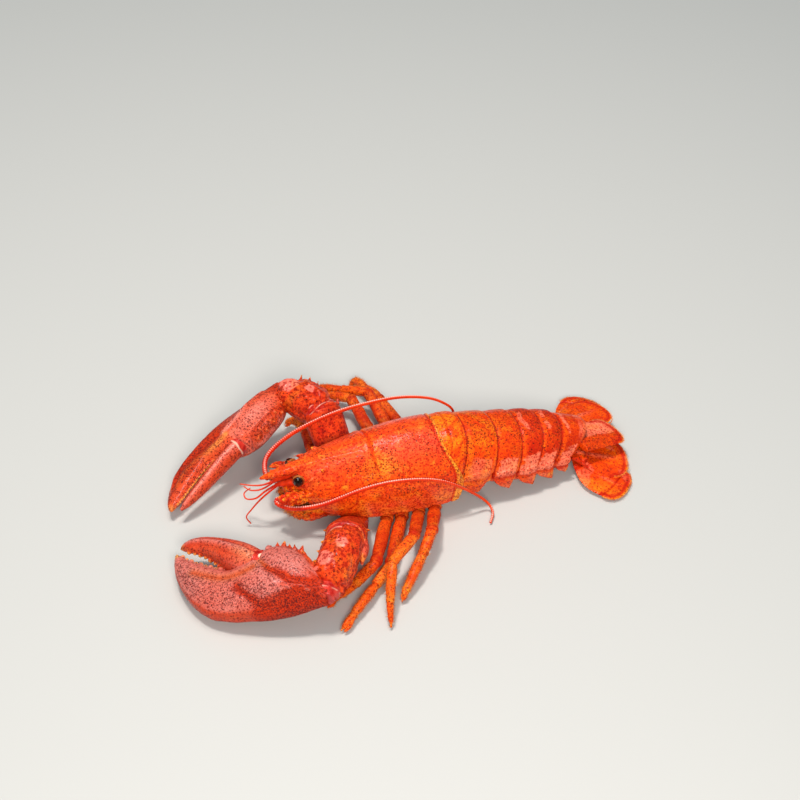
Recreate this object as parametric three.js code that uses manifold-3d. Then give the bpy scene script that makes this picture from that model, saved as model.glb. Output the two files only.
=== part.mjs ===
// A cooked American lobster lying flat, as served whole: shell plates, claws, legs, feelers and tail fan.
// Millimetres, +Z up. The head points to -X, the tail fan to +X, and the animal's left side to -Y.
import * as THREE from "three";
import { mergeVertices } from "three/addons/utils/BufferGeometryUtils.js";
import Module from "manifold-3d";

const wasm = await Module();
wasm.setup();

// ---- driving dimensions -------------------------------------------------------------------------

const GAP = 0.35; // clearance between neighbouring shell plates
const SHIELD_LENGTH = 93; // carapace from the eye sockets to its rear edge
const SHIELD_HALF_WIDTH = 31;
const SHIELD_LOW = 7; // lower margin of the carapace
const SHIELD_TOP = 54;
const ARCH_POWER = 1.74; // below 2 the back is narrower than an ellipse
const ROSTRUM_LENGTH = 23; // beak beyond the eye sockets
const BELLY_HEIGHT = 9.5; // breastplate under the carapace, flat where it rests
const BODY_HEADING = 18.5; // degrees, turned so that the tail lies further back
const TAIL_BEND = 0.5; // degrees, the tail's turn against the carapace
const BODY_PLACE = [21.7, 21.1]; // rear edge of the carapace on the table

// ---- finishes -----------------------------------------------------------------------------------

const finish = (name, color, roughness) =>
  Object.assign(new THREE.MeshStandardMaterial({ color, roughness, metalness: 0 }), { name });
const SHELL_RED = finish("shell_red", 0xd8401c, 0.4);
const SHELL_ORANGE = finish("shell_orange", 0xe6621a, 0.42);
const CLAW_RED = finish("claw_red", 0xd23a26, 0.36);
const FEELER_RED = finish("feeler_red", 0xcf2f22, 0.45);
const EYE_BLACK = finish("eye_black", 0x16110f, 0.2);
const UNDERSIDE = finish("underside", 0xd9795a, 0.5);

// ---- making and joining solids ------------------------------------------------------------------

const vec = (x, y, z) => new THREE.Vector3(x, y, z);
const mix = THREE.MathUtils.lerp;

// A closed surface through equal rings of points, with a fan over each end, wound to face out.
function loft(rings) {
  const sides = rings[0].length;
  const points = rings.flat();
  const middle = (ring) => ring.reduce((sum, p) => sum.add(p), vec(0, 0, 0)).divideScalar(sides);
  const first = points.push(middle(rings[0])) - 1;
  const last = points.push(middle(rings[rings.length - 1])) - 1;
  const faces = [];
  for (let j = 0; j < sides; j++) {
    const k = (j + 1) % sides;
    faces.push([first, k, j], [last, (rings.length - 1) * sides + j, (rings.length - 1) * sides + k]);
    for (let i = 0; i < rings.length - 1; i++) {
      const [a, b] = [i * sides + j, i * sides + k];
      faces.push([a, b, b + sides], [a, b + sides, a + sides]);
    }
  }
  const volume = faces.reduce(
    (sum, [a, b, c]) => sum + points[a].dot(vec(0, 0, 0).crossVectors(points[b], points[c])),
    0,
  );
  if (volume < 0) faces.forEach((face) => face.reverse());
  return new THREE.BufferGeometry().setFromPoints(points).setIndex(faces.flat());
}

// A closed geometry as a manifold solid, and the way back.
function toSolid(geometry, matrix = new THREE.Matrix4()) {
  const bare = geometry.clone().applyMatrix4(matrix);
  bare.deleteAttribute("normal");
  bare.deleteAttribute("uv");
  const merged = mergeVertices(bare, 1e-4);
  const triVerts = new Uint32Array(merged.index.array);
  return new wasm.Manifold(
    new wasm.Mesh({ numProp: 3, vertProperties: merged.attributes.position.array, triVerts }),
  );
}

function toGeometry(solid) {
  const { vertProperties, triVerts } = solid.getMesh();
  const geometry = new THREE.BufferGeometry()
    .setAttribute("position", new THREE.BufferAttribute(vertProperties, 3))
    .setIndex(new THREE.BufferAttribute(triVerts, 1));
  geometry.computeVertexNormals();
  return geometry;
}

const join = (...solids) => solids.reduce((whole, piece) => whole.add(piece));
const largest = (solid) =>
  solid.decompose().reduce((best, piece) => (piece.volume() > best.volume() ? piece : best));

// Values between the rows of a table of stations, by a Catmull-Rom curve through each column.
function between(rows, steps) {
  const out = [];
  const at = (i) => rows[Math.min(Math.max(i, 0), rows.length - 1)];
  for (let i = 0; i < rows.length - 1; i++) {
    for (let n = 0; n < steps; n++) {
      const t = n / steps;
      out.push(
        rows[i].map((_, c) => {
          const [p, q, r, s] = [at(i - 1)[c], at(i)[c], at(i + 1)[c], at(i + 2)[c]];
          const [slope, bend, twist] = [r - p, 2 * p - 5 * q + 4 * r - s, 3 * q - p - 3 * r + s];
          return 0.5 * (2 * q + slope * t + bend * t * t + twist * t ** 3);
        }),
      );
    }
  }
  out.push(rows[rows.length - 1]);
  return out;
}

const rounded = (c, power) => Math.sign(c) * Math.abs(c) ** (2 / power);

// A limb, finger, feeler or plate: stations [x, y, z, half width, half thickness] joined into one skin.
// The half width lies level with `face` as the upward side. The rings stand square to the run of their
// centres, or all to `heading` where it is given. grow swells the limb all round.
function limb(stations, { sides = 10, steps = 2, power = 2, face = vec(0, 0, 1), heading, grow = 0 } = {}) {
  const rows = between(stations, steps);
  const centres = rows.map(([x, y, z]) => vec(x, y, z));
  const rings = rows.map(([, , , width, thick], i) => {
    const ahead = centres[Math.min(i + 1, rows.length - 1)].clone();
    const along = heading ?? ahead.sub(centres[Math.max(i - 1, 0)]).normalize();
    const across = vec(0, 0, 0).crossVectors(face, along).normalize();
    const out = vec(0, 0, 0).crossVectors(along, across);
    const end = i === 0 ? -grow : i === rows.length - 1 ? grow : 0;
    return Array.from({ length: sides }, (_, n) => {
      const turn = (2 * Math.PI * (n + 0.5)) / sides;
      return centres[i]
        .clone()
        .addScaledVector(across, (width + grow) * rounded(Math.cos(turn), power))
        .addScaledVector(out, (thick + grow) * rounded(Math.sin(turn), power))
        .addScaledVector(along, end);
    });
  });
  return toSolid(loft(rings));
}

// A thorn: a slim cone from `root`, pointing along `way`.
function thorn(root, way, length, radius) {
  const cone = new THREE.ConeGeometry(radius, length * 1.5, 5).translate(0, length * 0.25, 0);
  const turn = new THREE.Quaternion().setFromUnitVectors(vec(0, 1, 0), way.clone().normalize());
  return toSolid(cone, new THREE.Matrix4().compose(root, turn, vec(1, 1, 1)));
}

// A blunt crushing tooth, standing towards `way`.
const tooth = (place, way, size) =>
  thorn(place.clone().addScaledVector(way, -size * 0.3), way, size * 1.5, size);

// ---- carapace -----------------------------------------------------------------------------------

// Stations of the shield: [x, half width, top, lower margin].
const SHIELD = [
  [-SHIELD_LENGTH - 2, 8, SHIELD_TOP - 14, 25],
  [-SHIELD_LENGTH + 6, 15, SHIELD_TOP - 11.5, 18],
  [-SHIELD_LENGTH + 18, 21.5, SHIELD_TOP - 8.2, 11.5],
  [-SHIELD_LENGTH + 34, 26.5, SHIELD_TOP - 5.2, 8],
  [-42, 29.5, SHIELD_TOP - 2.6, SHIELD_LOW],
  [-21, SHIELD_HALF_WIDTH, SHIELD_TOP - 1, SHIELD_LOW],
  [-6, SHIELD_HALF_WIDTH - 0.3, SHIELD_TOP - 1, SHIELD_LOW + 0.5],
  [0, SHIELD_HALF_WIDTH - 1, SHIELD_TOP - 1.4, SHIELD_LOW + 1.5],
];
const REAR_LOBE = 10; // how far the shield's sides reach behind its notched back edge
const FLANK_TUCK = 0.06; // how much the flanks draw in towards the lower margin
// The cervical groove over one side of the back, as [x, share of the arch from the ridge to the flank].
const GROOVE = [
  [-44, -0.02], [-45, 0.22], [-45, 0.44], [-44, 0.62], [-48, 0.8], [-57, 0.96], [-66, 1.14],
];
const GROOVE_RADIUS = 1.1;

// A point of the arch at x: share 0 on the ridge, -1 and 1 at the waist of either flank.
function onArch(x, share, half, waist, roof) {
  const turn = (Math.PI / 2) * share;
  const [out, high] = [rounded(Math.sin(turn), ARCH_POWER), rounded(Math.cos(turn), ARCH_POWER)];
  return vec(x, half * out, mix(waist, roof, high));
}

// One ring of the shield at x: over the back, down the flanks and flat across below.
function shieldRing([x, width, top, low], grow) {
  const [half, roof, floor] = [width + grow, top + grow, low - grow];
  const waist = mix(floor, roof, 0.36);
  const arch = 12;
  const ring = [];
  for (let n = 0; n <= arch; n++) ring.push(onArch(x, n / (arch / 2) - 1, half, waist, roof));
  const flank = (side, drop) => vec(x, side * half * (1 - FLANK_TUCK * drop ** 2), mix(waist, floor, drop));
  for (const drop of [0.35, 0.7, 1]) ring.push(flank(1, drop));
  ring.push(vec(x, half * 0.45, floor), vec(x, -half * 0.45, floor));
  for (const drop of [1, 0.7, 0.35]) ring.push(flank(-1, drop));
  // The sides sweep back behind the notch towards the rear edge.
  const sweep = THREE.MathUtils.smoothstep(x, -30, 0) * REAR_LOBE;
  ring.forEach((p) => {
    const side = Math.min(Math.abs(p.y) / half, 1);
    p.x += sweep * side ** 4 + (x >= 0 ? grow : 0) - (x <= SHIELD[0][0] ? grow : 0);
  });
  return ring;
}

function shieldGroove(side) {
  const rows = between(SHIELD, 8);
  return limb(
    GROOVE.map(([x, share]) => {
      const [, half, roof, low] = rows.find((row) => row[0] >= x);
      const waist = mix(low, roof, 0.36);
      const p = onArch(x, Math.min(share, 1), half, waist, roof);
      const drop = Math.max(0, share - 1) * 60;
      return [p.x, side * (p.y + 0.3), p.z - drop + 0.3, GROOVE_RADIUS, GROOVE_RADIUS];
    }),
    { sides: 4, steps: 1, face: vec(1, 0, 0) },
  );
}

function carapace(grow = 0) {
  const whole = toSolid(loft(between(SHIELD, 2).map((row) => shieldRing(row, grow))));
  const shell = grow ? whole : whole.subtract(shieldGroove(-1)).subtract(shieldGroove(1));
  const beakX = -SHIELD_LENGTH;
  const beak = limb(
    [
      [beakX + 12, 0, SHIELD_TOP - 13, 7.5, 3.8],
      [beakX, 0, SHIELD_TOP - 15, 4.6, 3],
      [beakX - ROSTRUM_LENGTH * 0.55, 0, SHIELD_TOP - 16.5, 2.6, 2.2],
      [beakX - ROSTRUM_LENGTH, 0, SHIELD_TOP - 18, 0.5, 0.5],
    ],
    { sides: 8, steps: 1, grow },
  );
  const thorns = [];
  for (const side of [-1, 1]) {
    // [behind the eyes, out from the middle, height, way, length, radius]
    for (const [back, out, high, way, long, radius] of [
      [-ROSTRUM_LENGTH * 0.05, 4.2, SHIELD_TOP - 14, [-1.4, 1, 0.5], 4, 1.2],
      [-ROSTRUM_LENGTH * 0.32, 3.2, SHIELD_TOP - 15.2, [-1.4, 1, 0.5], 4, 1.2],
      [-ROSTRUM_LENGTH * 0.6, 2.3, SHIELD_TOP - 16.2, [-1.4, 1, 0.5], 3.4, 1.2],
      [7, 12.5, SHIELD_TOP - 17.5, [-1.6, 0.5, 0.2], 4.5, 1.8],
      [4, 15, 27, [-1.6, 0.4, 0], 4, 1.8],
      [16, 11, SHIELD_TOP - 12.5, [-1.2, 0.7, 0.8], 2.4, 1.4],
    ]) {
      const [x, y, z] = way;
      thorns.push(thorn(vec(beakX + back, side * out, high), vec(x, side * y, z), long, radius));
    }
  }
  return join(shell, beak, ...thorns);
}

// The breastplate between the legs, flat below where the animal rests.
function breastplate(grow = 0) {
  const rings = between(
    [
      [-84, 5, 6],
      [-76, 10, 8],
      [-60, 16, BELLY_HEIGHT + 1.5],
      [-30, 20, BELLY_HEIGHT + 1.5],
      [-6, 19, BELLY_HEIGHT + 1.5],
      [-1.5, 16, BELLY_HEIGHT],
    ],
    1,
  ).map(([x, half, top]) =>
    [
      [-half * 0.75, 0],
      [half * 0.75, 0],
      [half, 2.5],
      [half + 1, top - 1.5],
      [half - 1, top],
      [-half + 1, top],
      [-half - 1, top - 1.5],
      [-half, 2.5],
    ].map(([y, z]) => vec(x, y + Math.sign(y) * grow, z + (z === 2.5 ? 0 : z > 2.5 ? grow : -grow))),
  );
  return toSolid(loft(rings));
}

// ---- tail ---------------------------------------------------------------------------------------

const PLATE_LEAN = [0.12, 0.26]; // radians, the front and rear plates' slant past square to the back
// The tail's back line: [x, top, half width, lower edge of the side lappets].
const TAIL_LINE = [
  [0, SHIELD_TOP - 2.2, 27, 11],
  [16, SHIELD_TOP - 4.8, 27.5, 10],
  [41, SHIELD_TOP - 11, 27.5, 8],
  [56, SHIELD_TOP - 14.4, 28, 5.5],
  [71, SHIELD_TOP - 17.2, 26.5, 5],
  [84, SHIELD_TOP - 20.8, 24.5, 4.5],
  [105, SHIELD_TOP - 28.5, 20, 4],
];
// Each ring plate: where it starts and ends on the back, how far its side lappets hang and sweep back, and
// how much its sides fall short of its rear edge.
const RINGS = [
  { from: 0, to: 17.5, hang: 0.35, sweep: 0, cutBack: 0 },
  { from: 18, to: 39, hang: 1, sweep: 2, cutBack: 0 },
  { from: 39.5, to: 56, hang: 1, sweep: 4, cutBack: 0 },
  { from: 56.5, to: 71.5, hang: 1, sweep: 5, cutBack: 0 },
  { from: 72, to: 85.5, hang: 1, sweep: 6, cutBack: 0 },
  { from: 86, to: 107, hang: 0.9, sweep: 3, cutBack: 9 },
];

// A column of the back line at x, and from those the tail's size there: { top, half, low, pitch }.
function backLine(x, column) {
  const rows = between(TAIL_LINE, 6);
  const n = Math.min(Math.max(1, rows.findIndex((row) => row[0] >= x)), rows.length - 1);
  const [a, b] = x > rows[rows.length - 1][0] ? rows.slice(-2) : [rows[n - 1], rows[n]];
  return mix(a[column], b[column], (x - a[0]) / (b[0] - a[0]));
}

function tailAt(x) {
  const [top, half, low] = [1, 2, 3].map((column) => backLine(x, column));
  const lean = mix(...PLATE_LEAN, THREE.MathUtils.smoothstep(x, 35, 75));
  const pitch = Math.atan2(backLine(x - 6, 1) - backLine(x + 6, 1), 12) + lean;
  return { top, half, low, pitch };
}

// One ring of the tail: an arch over the back, closed by a slightly hollow belly.
function tailRing(x, swell, grow) {
  const { top, half, low, pitch } = tailAt(x);
  const tall = (top - low) / Math.cos(pitch);
  const [h, w] = [tall * 0.74 + swell + grow, half + swell + grow];
  const ring = [];
  const arch = 12;
  for (let n = 0; n <= arch; n++) {
    const turn = Math.PI * (n / arch - 0.5);
    ring.push([w * rounded(Math.sin(turn), 2.2), h * rounded(Math.cos(turn), 2.1)]);
  }
  ring.push([w * 0.8, -0.1 * tall - grow], [w * 0.3, -0.06 * tall - grow]);
  ring.push([-w * 0.3, -0.06 * tall - grow], [-w * 0.8, -0.1 * tall - grow]);
  return ring.map(([y, up]) => {
    const drop = h - swell - grow - up; // measured from the back line
    return vec(x - drop * Math.sin(pitch), y, top - drop * Math.cos(pitch));
  });
}

// A side lappet: a thin pointed flap that hangs from the plate's flank, with its point towards the rear.
function lappet(plate, side, grow) {
  const { from, hang, sweep } = plate;
  const to = plate.to - plate.cutBack;
  const middle = (from + to) / 2;
  const { top, half, low, pitch } = tailAt(middle);
  const waist = low + (top - low) * 0.36;
  const long = (to - from) / 2;
  const lean = (top - waist) * Math.sin(pitch);
  const rows = [0, 0.35, 0.7, 1].map((t) => [
    middle - lean + sweep * t ** 1.5 - 1,
    side * (half - 0.6 + (t < 0.5 ? t : 1 - t) * 1.6),
    mix(waist + 3, mix(waist, low, hang), t),
    long * [1.02, 0.92, 0.5, 0.06][Math.round(t * 3)],
    [1.5, 1.4, 1.1, 0.5][Math.round(t * 3)],
  ]);
  return limb(rows, { sides: 6, steps: 1, power: 2.6, face: vec(0, side, 0), grow });
}

function tailPlate(n, grow = 0) {
  const plate = RINGS[n];
  const last = n === RINGS.length - 1;
  const stops = [0, 0.12, 0.55, 0.9, 1];
  const swells = [-1.6, -0.4, 0.5, 0.7, 0.1];
  const rings = stops.map((t, i) => {
    const end = i === 0 ? -grow : i === stops.length - 1 ? grow : 0;
    const x = mix(plate.from, plate.to, t);
    const ring = tailRing(x + end, swells[i] - (last ? 0.4 * t : 0), grow);
    ring.forEach((p) => (p.x -= plate.cutBack * t * Math.min(1, (p.y / tailAt(x).half) ** 2)));
    return ring;
  });
  const body = toSolid(loft(rings));
  if (plate.hang < 0.5) return body;
  return join(body, lappet(plate, -1, grow), lappet(plate, 1, grow));
}

// ---- tail fan -----------------------------------------------------------------------------------

const FAN_ROOT = 102;
// Each blade of the fan: where it starts from the fan's root, [x, y, z], its heading in degrees from
// straight back and how much it bends, its length, its half width at the root and at its widest, the share
// of its length where its end starts to round off, its tilt sideways and the height of its far end.
const BLADES = {
  telson: {
    start: [2, -8, 17.5], heading: 15, bend: 0, tilt: 0, tip: 14,
    length: 26, root: 13.5, half: 15, round: 0.68,
  },
  uropod_left_inner: {
    start: [-10, -13.5, 12], heading: -15, bend: 0, tilt: -0.12, tip: 5,
    length: 38, root: 5, half: 18.5, round: 0.62,
  },
  uropod_left_outer: {
    start: [-6, -10, 9], heading: -77, bend: 32, tilt: 0, tip: 2.2,
    length: 45, root: 3.6, half: 16, round: 0.76,
  },
  uropod_right_inner: {
    start: [-8.5, 13.5, 14.5], heading: 20, bend: 0, tilt: 0.1, tip: 9.5,
    length: 42, root: 5, half: 17.5, round: 0.64,
  },
  uropod_right_outer: {
    start: [-1.5, 10, 10], heading: 56, bend: -8, tilt: 0, tip: 5.5,
    length: 44, root: 5, half: 15.5, round: 0.66,
  },
};
const BLADE_SHARES = [0, 0.22, 0.46, 0.66, 0.82, 0.93, 1];
const BLADE_HALF_THICKNESS = 1.15;

function blade(name, grow = 0) {
  const { start, heading, bend, length, root, half, round, tilt, tip } = BLADES[name];
  const rows = BLADE_SHARES.map((t) => {
    const chord = THREE.MathUtils.degToRad(heading + (bend * t) / 2);
    const spread = mix(root, half, THREE.MathUtils.smoothstep(t, -0.1, 0.6));
    const turn = Math.max(0, (t - round) / (1 - round));
    return [
      FAN_ROOT + start[0] + length * t * Math.cos(chord),
      start[1] + length * t * Math.sin(chord),
      mix(start[2], tip, Math.sin((t * Math.PI) / 2)),
      spread * Math.max(0.05, 1 - turn ** 3) ** 0.42,
      BLADE_HALF_THICKNESS * mix(1.5, 0.55, t),
    ];
  });
  return limb(rows, { sides: 10, steps: 1, power: 3, face: vec(0, tilt, 1), grow });
}

// ---- head ---------------------------------------------------------------------------------------

function eye(side, grow = 0) {
  const ball = new THREE.SphereGeometry(3.5 + grow, 10, 7);
  const place = vec(-SHIELD_LENGTH - 0.5, side * 9.4, SHIELD_TOP - 18.8);
  return toSolid(ball, new THREE.Matrix4().setPosition(place));
}

// The stout jointed base of a long feeler, with the spiny scale beside it.
function feelerBase(side, grow = 0) {
  const stalk = limb(
    [
      [-SHIELD_LENGTH + 3, side * 11, 24, 5, 4.6],
      [-SHIELD_LENGTH - 4, side * 12, 24.5, 5, 4.6],
      [-SHIELD_LENGTH - 9, side * 12, 24.5, 3.9, 3.6],
      [-SHIELD_LENGTH - 14, side * 11.5, 24, 3.2, 3],
    ],
    { sides: 8, grow },
  );
  const scale = limb(
    [
      [-SHIELD_LENGTH + 1, side * 14, 28.5, 3.6, 1.6],
      [-SHIELD_LENGTH - 6, side * 16.5, 29.5, 3.8, 1.2],
      [-SHIELD_LENGTH - 13, side * 16.5, 29.5, 0.5, 0.4],
    ],
    { sides: 8, grow },
  );
  return join(stalk, scale);
}

// The pair of short forked feelers under the beak.
function feelerets(side, grow = 0) {
  const root = limb(
    [
      [-SHIELD_LENGTH + 2, side * 3.7, 30.8, 2.8, 2.9],
      [-SHIELD_LENGTH - 7, side * 3, 30.5, 2.2, 2.2],
      [-SHIELD_LENGTH - 14, side * 2.1, 30, 1.3, 1.3],
    ],
    { sides: 8, grow },
  );
  const whips = FEELERETS[side < 0 ? "left" : "right"].map((route) => {
    const rows = route.map((p, i) => [...p, 0.85 - 0.08 * i, 0.85 - 0.08 * i]);
    return limb(rows, { sides: 4, steps: 2, face: vec(1, 1, 0), grow });
  });
  return join(root, ...whips);
}

// Routes of the short feelers in the body's frame, from the stem out.
const FEELERETS = {
  left: [
    [
      [-104.5, -2.2, 29.9],
      [-112.1, -3.6, 26],
      [-117.7, -2.4, 20],
      [-123, -1.4, 13],
      [-126.3, -0.4, 7],
      [-124, -1.9, 2],
    ],
    [
      [-105.5, -2.1, 30.4],
      [-113.6, -2.2, 26.6],
      [-119.5, -1.4, 21.8],
      [-124.6, 3, 19],
      [-125, 7.6, 20],
      [-120.6, 8.3, 22.6],
    ],
  ],
  right: [
    [
      [-104.5, 2.7, 30.2],
      [-112.9, 1.6, 29],
      [-119.4, 5.2, 27],
      [-126.4, 11.5, 25],
    ],
    [
      [-105.5, 2, 30],
      [-112.6, 0.4, 27.5],
      [-117.6, 1.6, 25.5],
      [-121.9, 4.6, 24.4],
      [-124.6, 8.9, 24.6],
    ],
  ],
};

// The folded jaw foot below each side of the mouth.
function jawFoot(side, grow = 0) {
  return limb(
    [
      [-SHIELD_LENGTH + 26, side * 9, 8, 3, 3],
      [-SHIELD_LENGTH + 16, side * 11, 8.5, 5, 4.6],
      [-SHIELD_LENGTH + 5, side * 12, 9.5, 5.4, 5],
      [-SHIELD_LENGTH - 4, side * 10, 12, 4.8, 4.4],
      [-SHIELD_LENGTH - 8, side * 7, 15.5, 2.6, 2.4],
    ],
    { sides: 8, grow },
  );
}

// The face between the feelers, under the beak.
function face(grow = 0) {
  return limb(
    [
      [-SHIELD_LENGTH + 12, 0, 22, 9, 8],
      [-SHIELD_LENGTH + 2, 0, 22.5, 7.5, 7.5],
      [-SHIELD_LENGTH - 5, 0, 22.5, 5, 5.5],
      [-SHIELD_LENGTH - 8, 0, 22, 2, 2.5],
    ],
    { sides: 10, grow },
  );
}

// ---- placed on the table: arms, legs and long feelers -------------------------------------------

// Arm joints, [x, y, z, half width, half thickness]: the upper arm, then the wrist piece. The lobe is the
// pointed end of the upper arm's rear flank, beside the wrist.
const ARMS = {
  left: {
    upper: [
      [-28, -9, 5.5, 7.5, 3.8],
      [-29.5, -23, 6, 9.5, 4.8],
      [-31.5, -42, 16.5, 11.5, 8],
      [-33, -62, 29.5, 13, 10],
      [-33.5, -66, 32, 11, 8.5],
    ],
    wrist: [
      [-33.5, -64, 32, 8, 7.5],
      [-33.5, -69, 32, 11.6, 11],
      [-37, -82, 29.5, 12, 12],
      [-41.5, -95, 25, 12, 11],
      [-43.5, -102, 21.5, 9.5, 8.5],
    ],
    thornWay: vec(-1, 0.1, 0.4),
    thorn: 3.8,
    lobe: [
      [-26, -58, 27, 5, 5],
      [-22.5, -71, 28, 3.6, 5],
      [-23, -84, 27, 0.7, 0.9],
    ],
  },
  right: {
    upper: [
      [-36, 16, 9.5, 8, 6],
      [-40, 28, 15, 11, 7.5],
      [-46, 41, 25, 12.5, 9],
      [-51, 51, 34, 13, 10],
      [-52.5, 54, 36, 11, 8.5],
    ],
    wrist: [
      [-52, 52, 36, 8, 7.5],
      [-55.5, 55.5, 37, 12.5, 11],
      [-64, 62.5, 37.5, 13, 12],
      [-73.5, 68, 36.5, 11.5, 10.5],
      [-78.5, 70.5, 35.5, 9, 8],
    ],
    thornWay: vec(0.3, 1, 0.5),
    thorn: 5.4,
    lobe: [
      [-43, 45, 31, 4.5, 5],
      [-42, 54, 35, 2.8, 3.4],
      [-41, 60, 40, 0.5, 0.6],
    ],
  },
};

function upperArm(side, grow = 0) {
  const arm = ARMS[side];
  const [x, y, z, width] = arm.upper[3];
  const outward = side === "left" ? -1 : 1;
  const thorns = [-0.8, 0.9].map((t) =>
    thorn(vec(x + width * t * 0.95, y - 2 * outward, z + 3), vec(t, 0.45 * outward, 0.4), 5, 2),
  );
  const lobe = limb(arm.lobe, { sides: 6, steps: 1, grow });
  return join(limb(arm.upper, { sides: 10, power: 2.3, grow }), lobe, ...thorns);
}

function wristPiece(side, grow = 0) {
  const arm = ARMS[side];
  const [x, y, z, , thick] = arm.wrist[2];
  const along = vec(...arm.wrist[3]).sub(vec(...arm.wrist[1])).normalize();
  const thorns = [-7, 0, 7].map((shift, i) =>
    thorn(
      vec(x, y, z)
        .addScaledVector(along, shift)
        .addScaledVector(arm.thornWay.clone().normalize(), thick * 0.92),
      arm.thornWay,
      arm.thorn * [0.8, 1, 0.75][i],
      2.3,
    ),
  );
  return join(limb(arm.wrist, { sides: 11, power: 2.3, grow }), ...thorns);
}

// Claws in their own frame: +X to the fingertips, inner side (the moving finger's) +Y, upper face +Z.
// Stations [x, y, z, half width, half thickness]. The hinge is the knob over the root of the finger.
const CLAWS = {
  left: {
    place: [-43.6, -106, 24.2],
    points: [-137.2, -57.4, 11.8],
    roll: 14,
    inner: -1,
    power: 2.25,
    palm: [
      [-3, -0.8, 0, 6.2, 6],
      [4, -2.3, 0, 8.8, 8.5],
      [13, -2.8, 0, 15.5, 11.5],
      [27, -3, 0, 23.5, 14.2],
      [40, -5.3, 0, 26.2, 14.6],
      [47, -8.2, 0, 26.2, 13.6],
      [54, -13.3, 0, 22.9, 12],
      [63, -20.2, 0, 16.9, 10.4],
      [76, -19.6, 0, 13.9, 9.2],
      [88, -15.8, 0, 10.4, 7.4],
      [96, -12, 0, 7.4, 5.4],
      [102, -7.5, 0.4, 4.3, 3.5],
      [105.5, -3.8, 0.8, 1.4, 1.2],
    ],
    finger: [
      [48, 4.8, 3, 5.6, 6.5],
      [51, 4.3, 3.8, 8.7, 9.4],
      [58, 4.3, 3.8, 10.3, 10],
      [68, 5.7, 3.2, 9.9, 9.2],
      [81, 7.7, 2, 7.4, 7.8],
      [91, 8, 1.2, 6, 6],
      [98.5, 6.4, 1, 4.8, 4.8],
      [103, 4.4, 1, 3.2, 2.8],
      [105.5, 2.6, 1, 1.1, 1],
    ],
    hinge: [
      [46, 13.5, 9, 1, 1],
      [47.5, 16, 4.5, 2.6, 2.6],
      [48, 16.5, 0, 1, 1],
    ],
    fixedTeeth: { from: 66, to: 100, count: 7, radius: 2.8 },
    fingerTeeth: { from: 66, to: 99, count: 6, radius: 2.3 },
    thorns: { from: 11, to: 43, count: 7, length: 5, radius: 2.5 },
  },
  right: {
    place: [-79.4, 71.5, 34.5],
    points: [-145.9, -14.6, 7],
    roll: 12,
    inner: 1,
    power: 2.6,
    palm: [
      [-5, -0.8, 0, 7.5, 6.5],
      [4, -0.5, 0, 9.6, 8],
      [14, 0.4, 0, 13.2, 10],
      [28, -1, 0, 15.6, 11.4],
      [40, -2.7, 0, 16.7, 11.4],
      [49, -5.2, 0, 15.8, 10.4],
      [57, -9.6, 0, 12.2, 8.8],
      [66, -13, 0, 9, 7.4],
      [78, -12.8, 0, 8.9, 6.4],
      [90, -10.9, 0, 8.4, 5.4],
      [101, -7.3, 0, 6.5, 4],
      [108, -4, 0.3, 3.9, 2.6],
      [112.5, -1, 0.5, 1.4, 1],
    ],
    finger: [
      [43, 6.5, 1.5, 4.6, 5.6],
      [52, 6, 2, 5.4, 6.2],
      [66, 5.8, 2, 5, 5.8],
      [82, 6.2, 1.6, 4.4, 4.9],
      [96, 6.2, 1.2, 3.4, 3.7],
      [105, 6, 1, 2, 2.2],
      [109, 5.8, 1, 0.7, 0.8],
    ],
    hinge: [
      [46, 2, 9, 1.2, 1.2],
      [46, 6, 8.6, 3, 2.6],
      [46, 10.8, 4.5, 3.6, 3.2],
      [47, 11.8, -3, 2.2, 2.2],
    ],
    fixedTeeth: { from: 62, to: 104, count: 10, radius: 2 },
    fingerTeeth: { from: 58, to: 98, count: 9, radius: 1.6 },
    thorns: { from: 11, to: 38, count: 5, length: 3.6, radius: 2.8 },
  },
};

// The claw's own frame: X along the claw, Z up from its broad face, rolled so the inner edge is raised.
function clawFrame({ place, points, roll, inner }) {
  const along = vec(...points).sub(vec(...place)).normalize();
  const across = vec(0, 0, 0).crossVectors(vec(0, 0, 1), along).normalize();
  const up = vec(0, 0, 0).crossVectors(along, across);
  const turn = new THREE.Matrix4().makeRotationX(THREE.MathUtils.degToRad(roll) * inner);
  return new THREE.Matrix4().makeBasis(along, across, up).multiply(turn).setPosition(...place);
}

// The y of a station table's edge at x, on the inner (+1) or outer (-1) side.
function edgeAt(stations, x, side) {
  const n = Math.max(1, stations.findIndex((row) => row[0] >= x));
  const [a, b] = [stations[n - 1], stations[n]];
  const t = (x - a[0]) / (b[0] - a[0]);
  return mix(a[1], b[1], t) + side * mix(a[3], b[3], t);
}

const CLAW_HEADING = vec(1, 0, 0);
const sideways = (stations, inner) => stations.map(([x, y, ...rest]) => [x, y * inner, ...rest]);

function teeth(stations, { from, to, count, radius }, side, inner) {
  return Array.from({ length: count }, (_, n) => {
    const x = mix(from, to, n / (count - 1));
    const size = radius * (1 - 0.35 * (n / (count - 1))) * (n % 2 ? 0.8 : 1.05);
    return tooth(vec(x, inner * edgeAt(stations, x, side), 0.6), vec(0, inner * side, 0.1), size);
  });
}

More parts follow.
